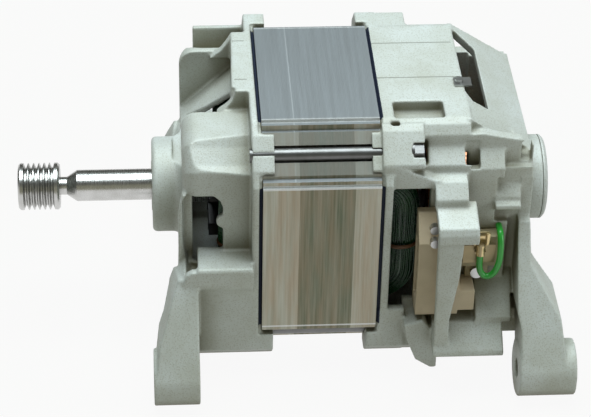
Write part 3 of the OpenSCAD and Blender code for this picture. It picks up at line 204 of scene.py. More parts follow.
def closeGroup(group, results):
    for label in results:
        group.interface.new_socket(label, in_out="OUTPUT", socket_type="NodeSocketFloat")
    end = group.nodes.new("NodeGroupOutput")
    for label, value in results.items():
        group.links.new(value, end.inputs[label])
    return group


def objectPlace(group, stretch=None):
    place = group.nodes.new("ShaderNodeTexCoord").outputs["Object"]
    if stretch is None:
        return place
    mapping = group.nodes.new("ShaderNodeMapping")
    mapping.inputs["Scale"].default_value = stretch
    group.links.new(place, mapping.inputs["Vector"])
    return mapping.outputs["Vector"]


def splitAxes(group, vector):
    split = group.nodes.new("ShaderNodeSeparateXYZ")
    group.links.new(vector, split.inputs[0])
    return split.outputs["X"], split.outputs["Y"], split.outputs["Z"]


def noiseNode(group, vector, scale, detail, rough):
    noise = group.nodes.new("ShaderNodeTexNoise")
    noise.inputs["Detail"].default_value = detail
    noise.inputs["Roughness"].default_value = rough
    group.links.new(vector, noise.inputs["Vector"])
    feed(group, noise.inputs["Scale"], scale)
    return noise.outputs["Fac"]


def rampNode(tree, value, ends):
    # 0 at the first end, 1 at the second
    node = tree.nodes.new("ShaderNodeMapRange")
    node.clamp = True
    tree.links.new(value, node.inputs["Value"])
    node.inputs["From Min"].default_value, node.inputs["From Max"].default_value = ends
    return node.outputs["Result"]


def between(group, value, ends):
    return mathNode(group, "MULTIPLY", mathNode(group, "GREATER_THAN", value, ends[0]),
                    mathNode(group, "LESS_THAN", value, ends[1]))


def nearTo(group, value, place, half):
    away = mathNode(group, "ABSOLUTE", mathNode(group, "SUBTRACT", value, place))
    return mathNode(group, "LESS_THAN", away, half)


def without(group, value, mask):
    return mathNode(group, "MULTIPLY", value, mathNode(group, "SUBTRACT", 1.0, mask))


blast = {"grainScale": 1100.0, "patchScale": 38.0, "pitsPerGrain": 1.1, "patchEnds": (0.3, 0.7),
         "pitEnds": (0.05, 0.45)}


def blastGrain():
    # fine pits of a blasted casting, with larger pale and dull patches
    group, given = openGroup("blastGrain", {"Grain Scale": blast["grainScale"],
                                            "Patch Scale": blast["patchScale"]})
    place = objectPlace(group)
    grain = noiseNode(group, place, given["Grain Scale"], detail=4.0, rough=0.7)
    patch = noiseNode(group, place, given["Patch Scale"], detail=5.0, rough=0.6)
    pits = group.nodes.new("ShaderNodeTexVoronoi")
    pitScale = mathNode(group, "MULTIPLY", given["Grain Scale"], blast["pitsPerGrain"])
    group.links.new(place, pits.inputs["Vector"])
    group.links.new(pitScale, pits.inputs["Scale"])
    return closeGroup(group, {"Grain": grain, "Patch": rampNode(group, patch, blast["patchEnds"]),
                              "Specks": rampNode(group, pits.outputs["Distance"], blast["pitEnds"])})


sheets = {"thickness": 0.0006, "streakStretch": (620, 16, 16), "streakEnds": (0.32, 0.68),
          "stainStretch": (260, 30, 30), "stainEnds": (0.35, 0.65), "band": (0.1125, 0.1360),
          "sideEnds": (0.55, 0.8), "seam": 0.1107, "seamHalf": 0.00028, "rim": (0.0362, 0.0378)}


def sheetStack():
    # edges of stacked sheets: fine lines across the shaft, streaks up and down, a darker band in the middle,
    # a pale seam across the faces that aren't upright, and a painted highlight along the long edges
    group, given = openGroup("sheetStack", {"Sheet Thickness": sheets["thickness"]})
    x, y, z = splitAxes(group, objectPlace(group))
    saw = mathNode(group, "FRACT", mathNode(group, "DIVIDE", x, given["Sheet Thickness"]))
    lines = mathNode(group, "ABSOLUTE", mathNode(group, "SUBTRACT", saw, 0.5))
    streaks = noiseNode(group, objectPlace(group, sheets["streakStretch"]), 1.0, detail=4.0, rough=0.65)
    stain = noiseNode(group, objectPlace(group, sheets["stainStretch"]), 1.0, detail=3.0, rough=0.6)
    facing = splitAxes(group, group.nodes.new("ShaderNodeNewGeometry").outputs["True Normal"])
    side = rampNode(group, mathNode(group, "ABSOLUTE", facing[1]), sheets["sideEnds"])
    seam = nearTo(group, x, sheets["seam"], sheets["seamHalf"])
    # a painted highlight along the long edges
    rims = [between(group, mathNode(group, "ABSOLUTE", depth), sheets["rim"]) for depth in (y, z)]
    return closeGroup(group, {
        "Lines": mathNode(group, "MULTIPLY", lines, 2.0),
        "Streaks": rampNode(group, streaks, sheets["streakEnds"]),
        "Stain": rampNode(group, stain, sheets["stainEnds"]),
        "Band": between(group, x, sheets["band"]),
        "Side": side,
        "Seam": without(group, seam, side),
        "EdgeHighlight": mathNode(group, "MAXIMUM", *rims),
    })


tooling = {"smudgeScale": 160.0, "smudgeEnds": (0.35, 0.7)}
ringMarks, alongX = (4000.0, 90.0, 90.0), (60.0, 2500.0, 2500.0)


def toolMarks():
    # turning or drawing marks: rings about the shaft, or lines along it
    group, given = openGroup("toolMarks", {"Stretch": ringMarks})
    place = objectPlace(group)
    scaled = group.nodes.new("ShaderNodeVectorMath")
    scaled.operation = "MULTIPLY"
    group.links.new(place, scaled.inputs[0])
    group.links.new(given["Stretch"], scaled.inputs[1])
    smudge = noiseNode(group, place, tooling["smudgeScale"], detail=3.0, rough=0.6)
    return closeGroup(group, {"Marks": noiseNode(group, scaled.outputs[0], 1.0, detail=2.0, rough=0.5),
                              "Smudge": rampNode(group, smudge, tooling["smudgeEnds"])})


moulded = {"grainScale": 1200.0, "mottleScale": 110.0, "mottleEnds": (0.3, 0.7)}


def mouldGrain():
    # faint texture and mottle of moulded plastic, varnish or tape
    group, given = openGroup("mouldGrain", {"Grain Scale": moulded["grainScale"],
                                            "Mottle Scale": moulded["mottleScale"]})
    place = objectPlace(group)
    mottle = noiseNode(group, place, given["Mottle Scale"], detail=4.0, rough=0.6)
    return closeGroup(group, {"Grain": noiseNode(group, place, given["Grain Scale"], detail=2.0, rough=0.55),
                              "Mottle": rampNode(group, mottle, moulded["mottleEnds"])})


castLines = {"half": 0.00035, "above": 0.047, "roof": {"places": (0.0225, -0.0058), "reach": (0.148, 0.184)},
             "pad": {"places": (0.0265, -0.005), "reach": (0.0868, 0.0922)},
             "shadedGaps": ((0.0954, 0.0972), (0.1468, 0.1486)), "corner": 0.0365}


def castDetails():
    # thin lines cast along the roof and across the pad, and painted shade in the gap between each flange and
    # the stack
    group, given = openGroup("castDetails", {"Half Width": castLines["half"]})
    x, y, z = splitAxes(group, objectPlace(group))

    def linesOn(part):
        masks = [nearTo(group, y, place, given["Half Width"]) for place in part["places"]]
        either = mathNode(group, "MAXIMUM", *masks)
        return mathNode(group, "MULTIPLY", either, between(group, x, part["reach"]))

    lines = mathNode(group, "MAXIMUM", linesOn(castLines["roof"]), linesOn(castLines["pad"]))
    onTop = mathNode(group, "GREATER_THAN", z, castLines["above"])
    outside = [mathNode(group, "GREATER_THAN", mathNode(group, "ABSOLUTE", v), castLines["corner"])
               for v in (y, z)]
    shadedGaps = mathNode(group, "MAXIMUM", *(between(group, x, ends) for ends in castLines["shadedGaps"]))
    return closeGroup(group, {"Line": mathNode(group, "MULTIPLY", lines, onTop),
                              "Gap": without(group, shadedGaps, mathNode(group, "MULTIPLY", *outside))})


groups = {"blastGrain": blastGrain(), "castDetails": castDetails(), "sheetStack": sheetStack(),
          "toolMarks": toolMarks(), "mouldGrain": mouldGrain()}


# materials, one for each slot of the record, and a brass darkened with painted shade for the brush caps

def useGroup(tree, name, values=None):
    node = tree.nodes.new("ShaderNodeGroup")
    node.node_tree = groups[name]
    for label, value in (values or {}).items():
        node.inputs[label].default_value = value
    return node.outputs


def blendColour(tree, factor, first, second):
    mix = tree.nodes.new("ShaderNodeMix")
    mix.data_type = "RGBA"
    factorSocket, firstSocket, secondSocket = mix.inputs[0], mix.inputs[6], mix.inputs[7]
    feed(tree, factorSocket, factor)
    feed(tree, firstSocket, first)
    feed(tree, secondSocket, second)
    return mix.outputs[2]


def spread(tree, mask, ends):
    # turns a mask into a number between two ends
    node = tree.nodes.new("ShaderNodeMapRange")
    tree.links.new(mask, node.inputs["Value"])
    node.inputs["To Min"].default_value, node.inputs["To Max"].default_value = ends
    return node.outputs["Result"]


def setSurface(tree, shader, colour, rough, metallic, height, bump):
    tree.links.new(colour, shader.inputs["Base Color"])
    tree.links.new(rough, shader.inputs["Roughness"])
    shader.inputs["Metallic"].default_value = metallic
    node = tree.nodes.new("ShaderNodeBump")
    node.inputs["Strength"].default_value, node.inputs["Distance"].default_value = bump
    tree.links.new(height, node.inputs["Height"])
    tree.links.new(node.outputs["Normal"], shader.inputs["Normal"])


# the dark brown for the hollows is painted shade
castLook = {"speck": (0.36, 0.345, 0.26), "speckShare": 0.6,
            "paintedHollowShade": (0.21, 0.195, 0.13), "paintedShadeReach": 0.014, "paintedShadeSamples": 8, "openEnds": (0.3, 0.92),
            # the gap colour is painted shade in the groove at each flange
            "line": (0.2, 0.2, 0.17), "lineShare": 0.7, "lineDepth": 2.0, "gap": (0.012, 0.018, 0.04),
            "rough": (0.5, 0.72), "metallic": 0.2, "bump": (0.35, 0.0004)}


def castMaterial(name, pale, dull, detailed=False):
    material, tree, shader = newMaterial(name)
    grain = useGroup(tree, "blastGrain")
    colour = blendColour(tree, grain["Patch"], dull, pale)
    specks = spread(tree, grain["Specks"], (castLook["speckShare"], 0.0))
    colour = blendColour(tree, specks, colour, castLook["speck"])
    # painted shade in the hollows: the colour darkens where ambient occlusion finds nearby surfaces
    paintedHollowShade = tree.nodes.new("ShaderNodeAmbientOcclusion")
    paintedHollowShade.samples = castLook["paintedShadeSamples"]
    paintedHollowShade.inputs["Distance"].default_value = castLook["paintedShadeReach"]
    openness = rampNode(tree, paintedHollowShade.outputs["AO"], castLook["openEnds"])
    colour = blendColour(tree, openness, castLook["paintedHollowShade"], colour)
    height = grain["Grain"]
    if detailed:
        details = useGroup(tree, "castDetails")
        lines = spread(tree, details["Line"], (0.0, castLook["lineShare"]))
        colour = blendColour(tree, lines, colour, castLook["line"])
        # painted shade in the gap between each flange and the stack
        colour = blendColour(tree, details["Gap"], colour, castLook["gap"])
        cut = mathNode(tree, "MULTIPLY", details["Line"], castLook["lineDepth"])
        height = mathNode(tree, "SUBTRACT", height, cut)
    rough = spread(tree, grain["Grain"], castLook["rough"])
    setSurface(tree, shader, colour, rough, castLook["metallic"], height, castLook["bump"])
    return material


# painted light: the top takes a cool tint and the upright sides a warmer, lighter one
stackLook = {"top": ((0.34, 0.37, 0.39), (0.38, 0.41, 0.43)),
             "side": ((0.36, 0.36, 0.28), (0.50, 0.50, 0.42)),
             "band": ((0.085, 0.115, 0.06), (0.27, 0.26, 0.19)), "bandShare": 0.9,
             "sideStain": (0.42, 0.30, 0.19), "sideStainShare": 0.45,
             "bandStain": (0.26, 0.19, 0.11), "bandStainShare": 0.5,
             # the pale mark along the long edges is a painted highlight
             "marks": (("Seam", 0.5, (0.62, 0.66, 0.68)), ("EdgeHighlight", 0.75, (0.80, 0.82, 0.82)),
                       ("Lines", 0.14, (0.12, 0.12, 0.12))),
             "rough": (0.5, 0.36), "metallic": 0.55, "bump": (0.25, 0.0002)}


def stackMaterial(name):
    material, tree, shader = newMaterial(name)
    stack = useGroup(tree, "sheetStack")

    def tint(mask, share, colour, other):
        return blendColour(tree, spread(tree, stack[mask], (0.0, share)), colour, other)

    top, side, band = (blendColour(tree, stack["Streaks"], *stackLook[k]) for k in ("top", "side", "band"))
    side = tint("Stain", stackLook["sideStainShare"], side, stackLook["sideStain"])
    band = tint("Stain", stackLook["bandStainShare"], band, stackLook["bandStain"])
    side = tint("Band", stackLook["bandShare"], side, band)
    # painted light: the top and the upright sides get different tints
    colour = blendColour(tree, stack["Side"], top, side)
    for mask, share, markColour in stackLook["marks"]:
        colour = tint(mask, share, colour, markColour)
    rough = spread(tree, stack["Streaks"], stackLook["rough"])
    setSurface(tree, shader, colour, rough, stackLook["metallic"], stack["Lines"], stackLook["bump"])
    return material


metalLook = {"smudgeShare": 0.5, "bump": (0.12, 0.0001)}


def metalMaterial(name, colour, shade, stretch, metallic=1.0, rough=(0.22, 0.38)):
    material, tree, shader = newMaterial(name)
    marks = useGroup(tree, "toolMarks", {"Stretch": stretch})
    smudge = spread(tree, marks["Smudge"], (0.0, metalLook["smudgeShare"]))
    setSurface(tree, shader, blendColour(tree, smudge, colour, shade), spread(tree, marks["Marks"], rough),
               metallic, marks["Marks"], metalLook["bump"])
    return material


mouldLook = {"bumpDepth": 0.0002, "coatRough": 0.15}


def mouldedMaterial(name, colour, shade, rough=(0.4, 0.55), bump=0.15, grainScale=moulded["grainScale"],
                    coat=0.0):
    material, tree, shader = newMaterial(name)
    grain = useGroup(tree, "mouldGrain", {"Grain Scale": grainScale})
    if coat:
        shader.inputs["Coat Weight"].default_value = coat
        shader.inputs["Coat Roughness"].default_value = mouldLook["coatRough"]
    setSurface(tree, shader, blendColour(tree, grain["Mottle"], colour, shade),
               spread(tree, grain["Grain"], rough), 0.0, grain["Grain"], (bump, mouldLook["bumpDepth"]))
    return material


finishes = {
    "cast_aluminium": castMaterial("blastedCasting", (0.67, 0.71, 0.69), (0.54, 0.56, 0.50), detailed=True),
    "sensor_cap_metal": castMaterial("blastedCap", (0.66, 0.69, 0.67), (0.55, 0.57, 0.53)),
    "lamination_steel": stackMaterial("stackedSheets"),
    "zinc_steel": metalMaterial("zincedSteel", (0.55, 0.56, 0.56), (0.38, 0.37, 0.34), alongX,
                                rough=(0.25, 0.42)),
    "bright_steel": metalMaterial("turnedSteel", (0.62, 0.62, 0.61), (0.42, 0.42, 0.40), ringMarks,
                                  rough=(0.2, 0.36)),
    "bearing_steel": metalMaterial("groundSteel", (0.62, 0.63, 0.64), (0.5, 0.5, 0.52), ringMarks,
                                   rough=(0.12, 0.25)),
    "bolt_steel": metalMaterial("blackenedBolt", (0.20, 0.20, 0.20), (0.12, 0.12, 0.11), alongX,
                                metallic=0.9, rough=(0.3, 0.48)),
    "spring_steel": metalMaterial("drawnWire", (0.55, 0.55, 0.57), (0.4, 0.4, 0.42), alongX),
    "contact_metal": metalMaterial("tinnedContact", (0.66, 0.66, 0.62), (0.5, 0.5, 0.46), alongX),
    "copper_bars": metalMaterial("turnedCopper", (0.62, 0.30, 0.17), (0.35, 0.16, 0.09), ringMarks,
                                 rough=(0.25, 0.45)),
    "tube_brass": metalMaterial("foldedBrass", (0.62, 0.50, 0.27), (0.48, 0.38, 0.2), alongX),
    # a darker brass: painted shade for the brush caps
    "shadeDarkenedBrass": metalMaterial("shadeDarkenedBrass", (0.34, 0.28, 0.16), (0.2, 0.165, 0.1), alongX,
                               metallic=0.8, rough=(0.35, 0.5)),
    "cage_brass": metalMaterial("pressedBrass", (0.58, 0.46, 0.22), (0.45, 0.35, 0.18), ringMarks),
    "liner_film": mouldedMaterial("insulatingFilm", (0.60, 0.55, 0.38), (0.50, 0.46, 0.32)),
    "enamelled_wire": mouldedMaterial("greenEnamel", (0.012, 0.085, 0.018), (0.006, 0.035, 0.016),
                                      rough=(0.2, 0.36), bump=0.08, coat=0.15),
    "lacing_tape": mouldedMaterial("varnishedTape", (0.22, 0.10, 0.045), (0.14, 0.065, 0.03),
                                   rough=(0.45, 0.65), bump=0.4, grainScale=2600.0),
    "end_disc_plastic": mouldedMaterial("redMoulding", (0.25, 0.05, 0.035), (0.2, 0.04, 0.03)),
    "rotor_wire": mouldedMaterial("varnishedCopper", (0.20, 0.07, 0.03), (0.11, 0.04, 0.02),
                                  rough=(0.25, 0.4), bump=0.5, grainScale=700.0, coat=0.3),
    "fan_plastic": mouldedMaterial("blackFan", (0.018, 0.018, 0.02), (0.03, 0.03, 0.032)),
    "commutator_resin": mouldedMaterial("brownResin", (0.06, 0.03, 0.02), (0.09, 0.045, 0.03)),
    "seal_rubber": mouldedMaterial("sealRubber", (0.02, 0.02, 0.02), (0.035, 0.035, 0.035),
                                   rough=(0.6, 0.75)),
    "holder_plastic": mouldedMaterial("holderMoulding", (0.42, 0.36, 0.22), (0.34, 0.28, 0.17)),
    "brush_carbon": mouldedMaterial("pressedCarbon", (0.02, 0.02, 0.022), (0.035, 0.035, 0.036),
                                    rough=(0.45, 0.6)),
    "green_lead": mouldedMaterial("greenInsulation", (0.025, 0.42, 0.04), (0.02, 0.30, 0.03),
                                  rough=(0.25, 0.4), bump=0.1, grainScale=900.0, coat=0.3),
    "connector_plastic": mouldedMaterial("creamMoulding", (0.70, 0.58, 0.42), (0.60, 0.49, 0.34)),
    "magnet": mouldedMaterial("bondedMagnet", (0.045, 0.045, 0.05), (0.07, 0.07, 0.075)),
    "coil_former": mouldedMaterial("formerMoulding", (0.55, 0.52, 0.42), (0.48, 0.45, 0.36)),
}
slotOf = {row["node"]: row["material_slot"] for row in frame["record"]["subparts"]}

for name, obj in nodes.items():
    for slot in obj.material_slots:
        slot.material = finishes[slotOf[name]]
# painted shade: the brush caps take the darker brass
for name in ("near_brush_cap", "far_brush_cap"):
    nodes[name].material_slots[0].material = finishes["shadeDarkenedBrass"]
print("materials on", len(nodes), "nodes")


# castings and mouldings: the solids of the frame with softer edges

casting = {"voxel": 0.6 * mm, "rounds": 1, "keepShare": 0.4}
moulding = {"voxel": 0.3 * mm, "rounds": 2, "keepShare": 0.4}
softening = {"weld": 0.002 * mm, "factor": 0.45}


def dress(obj, slotName):
    obj.data.materials.clear()
    obj.data.materials.append(finishes[slotName])


def softened(nodeName, pieceName, form):
    mesh = nodes[nodeName].data.copy()
    work = bmesh.new()
    work.from_mesh(mesh)
    bmesh.ops.remove_doubles(work, verts=work.verts, dist=softening["weld"])
    work.to_mesh(mesh)
    work.free()
    piece = bpy.data.objects.new(pieceName, mesh)
    bpy.context.scene.collection.objects.link(piece)
    remesh = piece.modifiers.new("voxels", "REMESH")
    remesh.mode = "VOXEL"
    remesh.voxel_size = form["voxel"]
    smooth = piece.modifiers.new("soften", "SMOOTH")
    smooth.factor = softening["factor"]
    smooth.iterations = form["rounds"]
    thin = piece.modifiers.new("thin", "DECIMATE")
    thin.ratio = form["keepShare"]
    graph = bpy.context.evaluated_depsgraph_get()
    finished = bpy.data.meshes.new_from_object(piece.evaluated_get(graph))
    piece.modifiers.clear()
    piece.data = finished
    finished.shade_smooth()
    dress(piece, slotOf[nodeName])
    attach(piece, "frame")
    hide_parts(nodeName)
    print(pieceName, len(finished.polygons), "faces")


softened("drive_end_shield", "driveEndCasting", casting)
softened("commutator_end_shield", "commutatorEndCasting", casting)
softened("connector_housing", "connectorMoulding", {**moulding, "keepShare": 0.5})
softened("near_brush_holder", "nearHolderMoulding", moulding)
softened("far_brush_holder", "farHolderMoulding", moulding)
print("castings and mouldings ready")


# helpers for wires, tubes and bands

def frameAlong(points):
    # side and up directions carried along a path without twisting
    ahead = []
    for i in range(len(points)):
        before, after = points[max(i - 1, 0)], points[min(i + 1, len(points) - 1)]
        ahead.append((after - before).normalized())
    acrossY, acrossX = Vector((0.02, 1, 0.03)), Vector((1, 0.02, 0.03))
    first = ahead[0].cross(acrossY)
    if first.length < 0.2:
        first = ahead[0].cross(acrossX)
    side = first.normalized()
    frames = []
    for direction in ahead:
        side = (side - direction * side.dot(direction)).normalized()
        frames.append((side, direction.cross(side)))
    return frames


def ringFaces(rings, sides, closed=False):
    # quads between neighbouring rings of points, and from the last ring to the first where closed
    faces = []
    for i in range(rings if closed else rings - 1):
        here, there = i * sides, (i + 1) % rings * sides
        for j in range(sides):
            k = (j + 1) % sides
            faces.append((here + j, here + k, there + k, there + j))
    return faces


def stripFaces(start, rows, count):
    # quads between neighbouring rows of points that don't close on themselves
    firsts = [start + row * count + i for row in range(rows - 1) for i in range(count - 1)]
    return [(a, a + 1, a + count + 1, a + count) for a in firsts]


def tubeGeometry(points, radius, sides):
    verts = []
    for point, (side, up) in zip(points, frameAlong(points)):
        for j in range(sides):
            a = 2 * math.pi * j / sides
            verts.append(point + side * (radius * math.cos(a)) + up * (radius * math.sin(a)))
    last = (len(points) - 1) * sides
    caps = [tuple(range(sides - 1, -1, -1)), tuple(range(last, last + sides))]
    return verts, ringFaces(len(points), sides) + caps


def curveThrough(points, steps):
    # smooth path through points given in millimetres
    p = [Vector(q) * mm for q in points]
    p = [p[0] * 2 - p[1]] + p + [p[-1] * 2 - p[-2]]
    path = []
    for i in range(1, len(p) - 2):
        a, b, c, d = p[i - 1], p[i], p[i + 1], p[i + 2]
        for s in range(steps):
            t = s / steps
            path.append(0.5 * ((2 * b) + (c - a) * t + (2 * a - 5 * b + 4 * c - d) * t * t
                               + (3 * b - a - 3 * c + d) * t * t * t))
    path.append(p[-2])
    return path


def makePiece(name, verts, faces, slotName, body, *nodeNames):
    mesh = bpy.data.meshes.new(name)
    mesh.from_pydata([tuple(v) for v in verts], [], faces)
    mesh.validate()
    work = bmesh.new()
    work.from_mesh(mesh)
    bmesh.ops.recalc_face_normals(work, faces=work.faces)
    work.to_mesh(mesh)
    work.free()
    piece = bpy.data.objects.new(name, mesh)
    bpy.context.scene.collection.objects.link(piece)
    mesh.shade_smooth()
    dress(piece, slotName)
    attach(piece, body)
    if nodeNames:
        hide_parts(*nodeNames)
    print(name, len(mesh.polygons), "faces")
    return piece


def addTo(verts, faces, more):
    start = len(verts)
    verts.extend(more[0])
    faces.extend(tuple(start + i for i in face) for face in more[1])


def mirrored(verts):
    return [Vector((v.x, -v.y, v.z)) for v in verts]


motorSides = {"near": list, "far": mirrored}  # everything is worked out for the near side


# field coils: wound bundles that turn round the poles, laced with tape; a turn's number grows outwards

coil = {"midX": 122.0, "midT": 5.7, "halfT": 6.3, "midY": 39.9, "halfY": 3.7, "loops": 44, "wireRadius": 0.43,
        "wireSides": 6, "stepsPerLoop": 76, "waver": 0.34, "waverT": 0.6, "waverY": 0.5, "seed": 11}
coilLoop = {"halfX": 30.2, "halfZ": 21.6, "corner": 5.1,
            "perTurnX": 1.1, "perTurnZ": 1.02, "perTurnCorner": 1.1}
coilSkin = {"leavesAt": 25.0, "leavesOver": 5.0, "square": 4.2, "rounder": 1.7, "narrower": 0.06,
            "rearBulge": 2.4, "frontBulge": 0.75}
coilCoreForm = {"sides": 28, "steps": 96, "shareT": 0.95, "shareY": 0.93}
lacing = {"low": -4.1, "high": -1.5, "lift": 0.75, "liftOverT": 7, "liftOverY": 4, "thickness": 0.42,
          "edgeShare": 0.8, "sway": 0.35, "swayStart": 0.6, "steps": 56, "profileSides": 8}


def loopPlace(angle, t):
    # point of the rounded loop at turn t, as X and Z from the coil's centre; the loop is walked by its length
    hx = coilLoop["halfX"] + coilLoop["perTurnX"] * t
    hz = coilLoop["halfZ"] + coilLoop["perTurnZ"] * t
    r = coilLoop["corner"] + coilLoop["perTurnCorner"] * t
    sx, sz, arc = 2 * (hx - r), 2 * (hz - r), math.pi * r / 2
    run = (angle / (2 * math.pi)) % 1 * (2 * sx + 2 * sz + 4 * arc)
    x, z, heading = hx, 0.0, math.pi / 2
    for part, length in enumerate((sz / 2, arc, sx, arc, sz, arc, sx, arc, sz / 2)):
        walked = min(run, length)
        if part % 2 == 0:
            x, z = x + math.cos(heading) * walked, z + math.sin(heading) * walked
        else:
            cx, cz = x - math.sin(heading) * r, z + math.cos(heading) * r
            heading += walked / r
            x, z = cx + math.sin(heading) * r, cz - math.cos(heading) * r
        run -= walked
        if run <= 0:
            break
    return x, z


def bundleShape(around, x):
    # turn number and depth of a place on the bundle's skin; the bundle is rounder where it leaves the stack
    out = min(max((abs(x) - coilSkin["leavesAt"]) / coilSkin["leavesOver"], 0.0), 1.0)
    power = 2 / (coilSkin["square"] - coilSkin["rounder"] * out)
    c, s = math.cos(around), math.sin(around)
    wide = math.copysign(abs(c) ** power, c)
    deep = math.copysign(abs(s) ** power, s)
    t = coil["midT"] + coil["halfT"] * (1 - coilSkin["narrower"] * out) * wide
    bulge = (coilSkin["rearBulge"] if x > 0 else coilSkin["frontBulge"]) * out
    return t, coil["midY"] + coil["halfY"] * deep + bulge * max(deep, 0), out


def coilPath(dice):
    # one wire that runs round the bundle's skin, each loop wavering a little
    loops, steps = coil["loops"], coil["stepsPerLoop"]
    counts = (2, 3, 5)
    waves = [[(dice.uniform(0, 6.28), dice.uniform(0.5, 1.0)) for _ in counts] for _ in range(loops + 1)]

    def drift(wire, angle):
        return sum(k * math.sin(f * angle + p) for f, (p, k) in zip(counts, waves[wire]))

    path = []
    for i in range(loops * steps + 1):
        wire, step = divmod(i, steps)
        angle = 2 * math.pi * step / steps
        blend = step / steps
        x = loopPlace(angle, coil["midT"])[0]
        t, y, out = bundleShape(2 * math.pi * i / (loops * steps), x)
        wave = drift(wire, angle) * (1 - blend) + drift(min(wire + 1, loops), angle) * blend
        t += coil["waver"] * out * wave * coil["waverT"]
        y -= coil["waver"] * out * abs(wave) * coil["waverY"]
        x, z = loopPlace(angle, t)
        path.append(Vector((coil["midX"] + x, -y, z)) * mm)
    return path


def coilCore():
    # what the wires lie on, so that no gap shows between them
    verts = []
    sides, steps = coilCoreForm["sides"], coilCoreForm["steps"]
    for i in range(steps):
        angle = 2 * math.pi * i / steps
        midX = loopPlace(angle, coil["midT"])[0]
        for j in range(sides):
            t, y = bundleShape(2 * math.pi * j / sides, midX)[:2]
            t = coil["midT"] + (t - coil["midT"]) * coilCoreForm["shareT"]
            y = coil["midY"] + (y - coil["midY"]) * coilCoreForm["shareY"]
            x, z = loopPlace(angle, t)
            verts.append(Vector((coil["midX"] + x, -y, z)) * mm)
    return verts, ringFaces(steps, sides, closed=True)


def lacingBand(rear):
    # flat tape round the bundle, a little wavy
    verts = []
    steps, sides = lacing["steps"], lacing["profileSides"]
    midZ, halfZ = (lacing["low"] + lacing["high"]) / 2, (lacing["high"] - lacing["low"]) / 2
    midX = coilLoop["halfX"] + coilLoop["perTurnX"] * coil["midT"]
    for i in range(steps):
        around = 2 * math.pi * i / steps
        t, y = bundleShape(around, midX if rear else -midX)[:2]
        t = coil["midT"] + (t - coil["midT"]) * (1 + lacing["lift"] / lacing["liftOverT"])
        y = coil["midY"] + (y - coil["midY"]) * (1 + lacing["lift"] / lacing["liftOverY"])
        sway = lacing["sway"] * math.sin(2 * around + lacing["swayStart"])
        outX, outY = math.cos(around), math.sin(around)
        for j in range(sides):
            a = 2 * math.pi * j / sides
            wide = halfZ * lacing["edgeShare"] * math.cos(a)
            thick = lacing["thickness"] * math.sin(a)
            x = coilLoop["halfX"] + coilLoop["perTurnX"] * t + outX * thick
            x = coil["midX"] + (x if rear else -x)
            verts.append(Vector((x, -(y + outY * thick), midZ + sway + wide)) * mm)
    return verts, ringFaces(steps, sides, closed=True)


def makeCoils():
    path = coilPath(random.Random(coil["seed"]))
    wires = tubeGeometry(path, coil["wireRadius"] * mm, coil["wireSides"])
    core = coilCore()
    bands = [lacingBand(True), lacingBand(False)]
    verts, faces = [], []
    for side, turned in motorSides.items():
        makePiece(side + "CoilWinding", turned(wires[0]), wires[1], "enamelled_wire", "frame",
                  side + "_coil_turns")
        makePiece(side + "CoilCore", turned(core[0]), core[1], "enamelled_wire", "frame", side + "_coil_body")
        for band in bands:
            addTo(verts, faces, (turned(band[0]), band[1]))
    makePiece("coilLacingTape", verts, faces, "lacing_tape", "frame", "coil_lacing")


makeCoils()
print("coils ready")


# brush gear: springs, leads and spade terminals

brushGear = {"x": 190.5, "capY": 56.0, "springRadius": 2.1, "springWire": 0.3, "springFrom": 39.1,
             "springTo": 55.9, "curls": 8, "stepsPerCurl": 26, "springSides": 8, "endPitch": 1.9,
             "springKeep": 0.405, "leadRadius": 1.4, "leadSides": 16, "leadSteps": 5}
leadRoute = [(0, -59.6, 1.4), (0, -59.6, -1.5), (0, -59.8, -4.4), (0.6, -60.2, -7.2), (2.2, -60.5, -9.2),
             (4.4, -60.6, -9.4), (6.6, -60.4, -7.6), (8, -60, -4.4), (8.7, -59.5, -0.6), (8.8, -59, 3.4),
             (8.8, -58, 7), (8.7, -56.2, 9.6), (8.7, -54.2, 10.2), (8.7, -50.05, 10.2)]
terminal = {"y": -59.75, "rows": ((7.0, 0.9), (7.5, 1.0), (12.7, 1.0), (13.2, 0.93)), "rollX": 2.9,
            "rollRadius": 0.95, "rollTurn": 285, "rollSteps": 12, "insideX": 0.93, "insideY": 0.62,
            "barrelY": -59.6, "barrel": ((1.6, 1.95), (2.1, 1.82), (5.6, 1.82), (6.2, 1.95), (7.3, 1.5)),
            "barrelAngles": range(8, 353, 15)}


def springGeometry():
    # open curls with a closed curl at each end
    wire, radius = brushGear["springWire"], brushGear["springRadius"]
    curls = brushGear["curls"] + 2
    low, high = brushGear["springFrom"] + wire, brushGear["springTo"] - wire
    span = high - low - 2 * brushGear["endPitch"] * wire
    path = []
    for i in range(curls * brushGear["stepsPerCurl"] + 1):
        turn = i / brushGear["stepsPerCurl"]
        rise = min(max((turn - 1) / (curls - 2), 0), 1)
        ends = wire * brushGear["endPitch"] * (min(turn, 1) + max(turn - (curls - 1), 0))
        y = low + ends + rise * span
        a = 2 * math.pi * turn
        path.append(Vector((brushGear["x"] + radius * math.cos(a), -y, radius * math.sin(a))) * mm)
    return tubeGeometry(path, wire * mm, brushGear["springSides"])


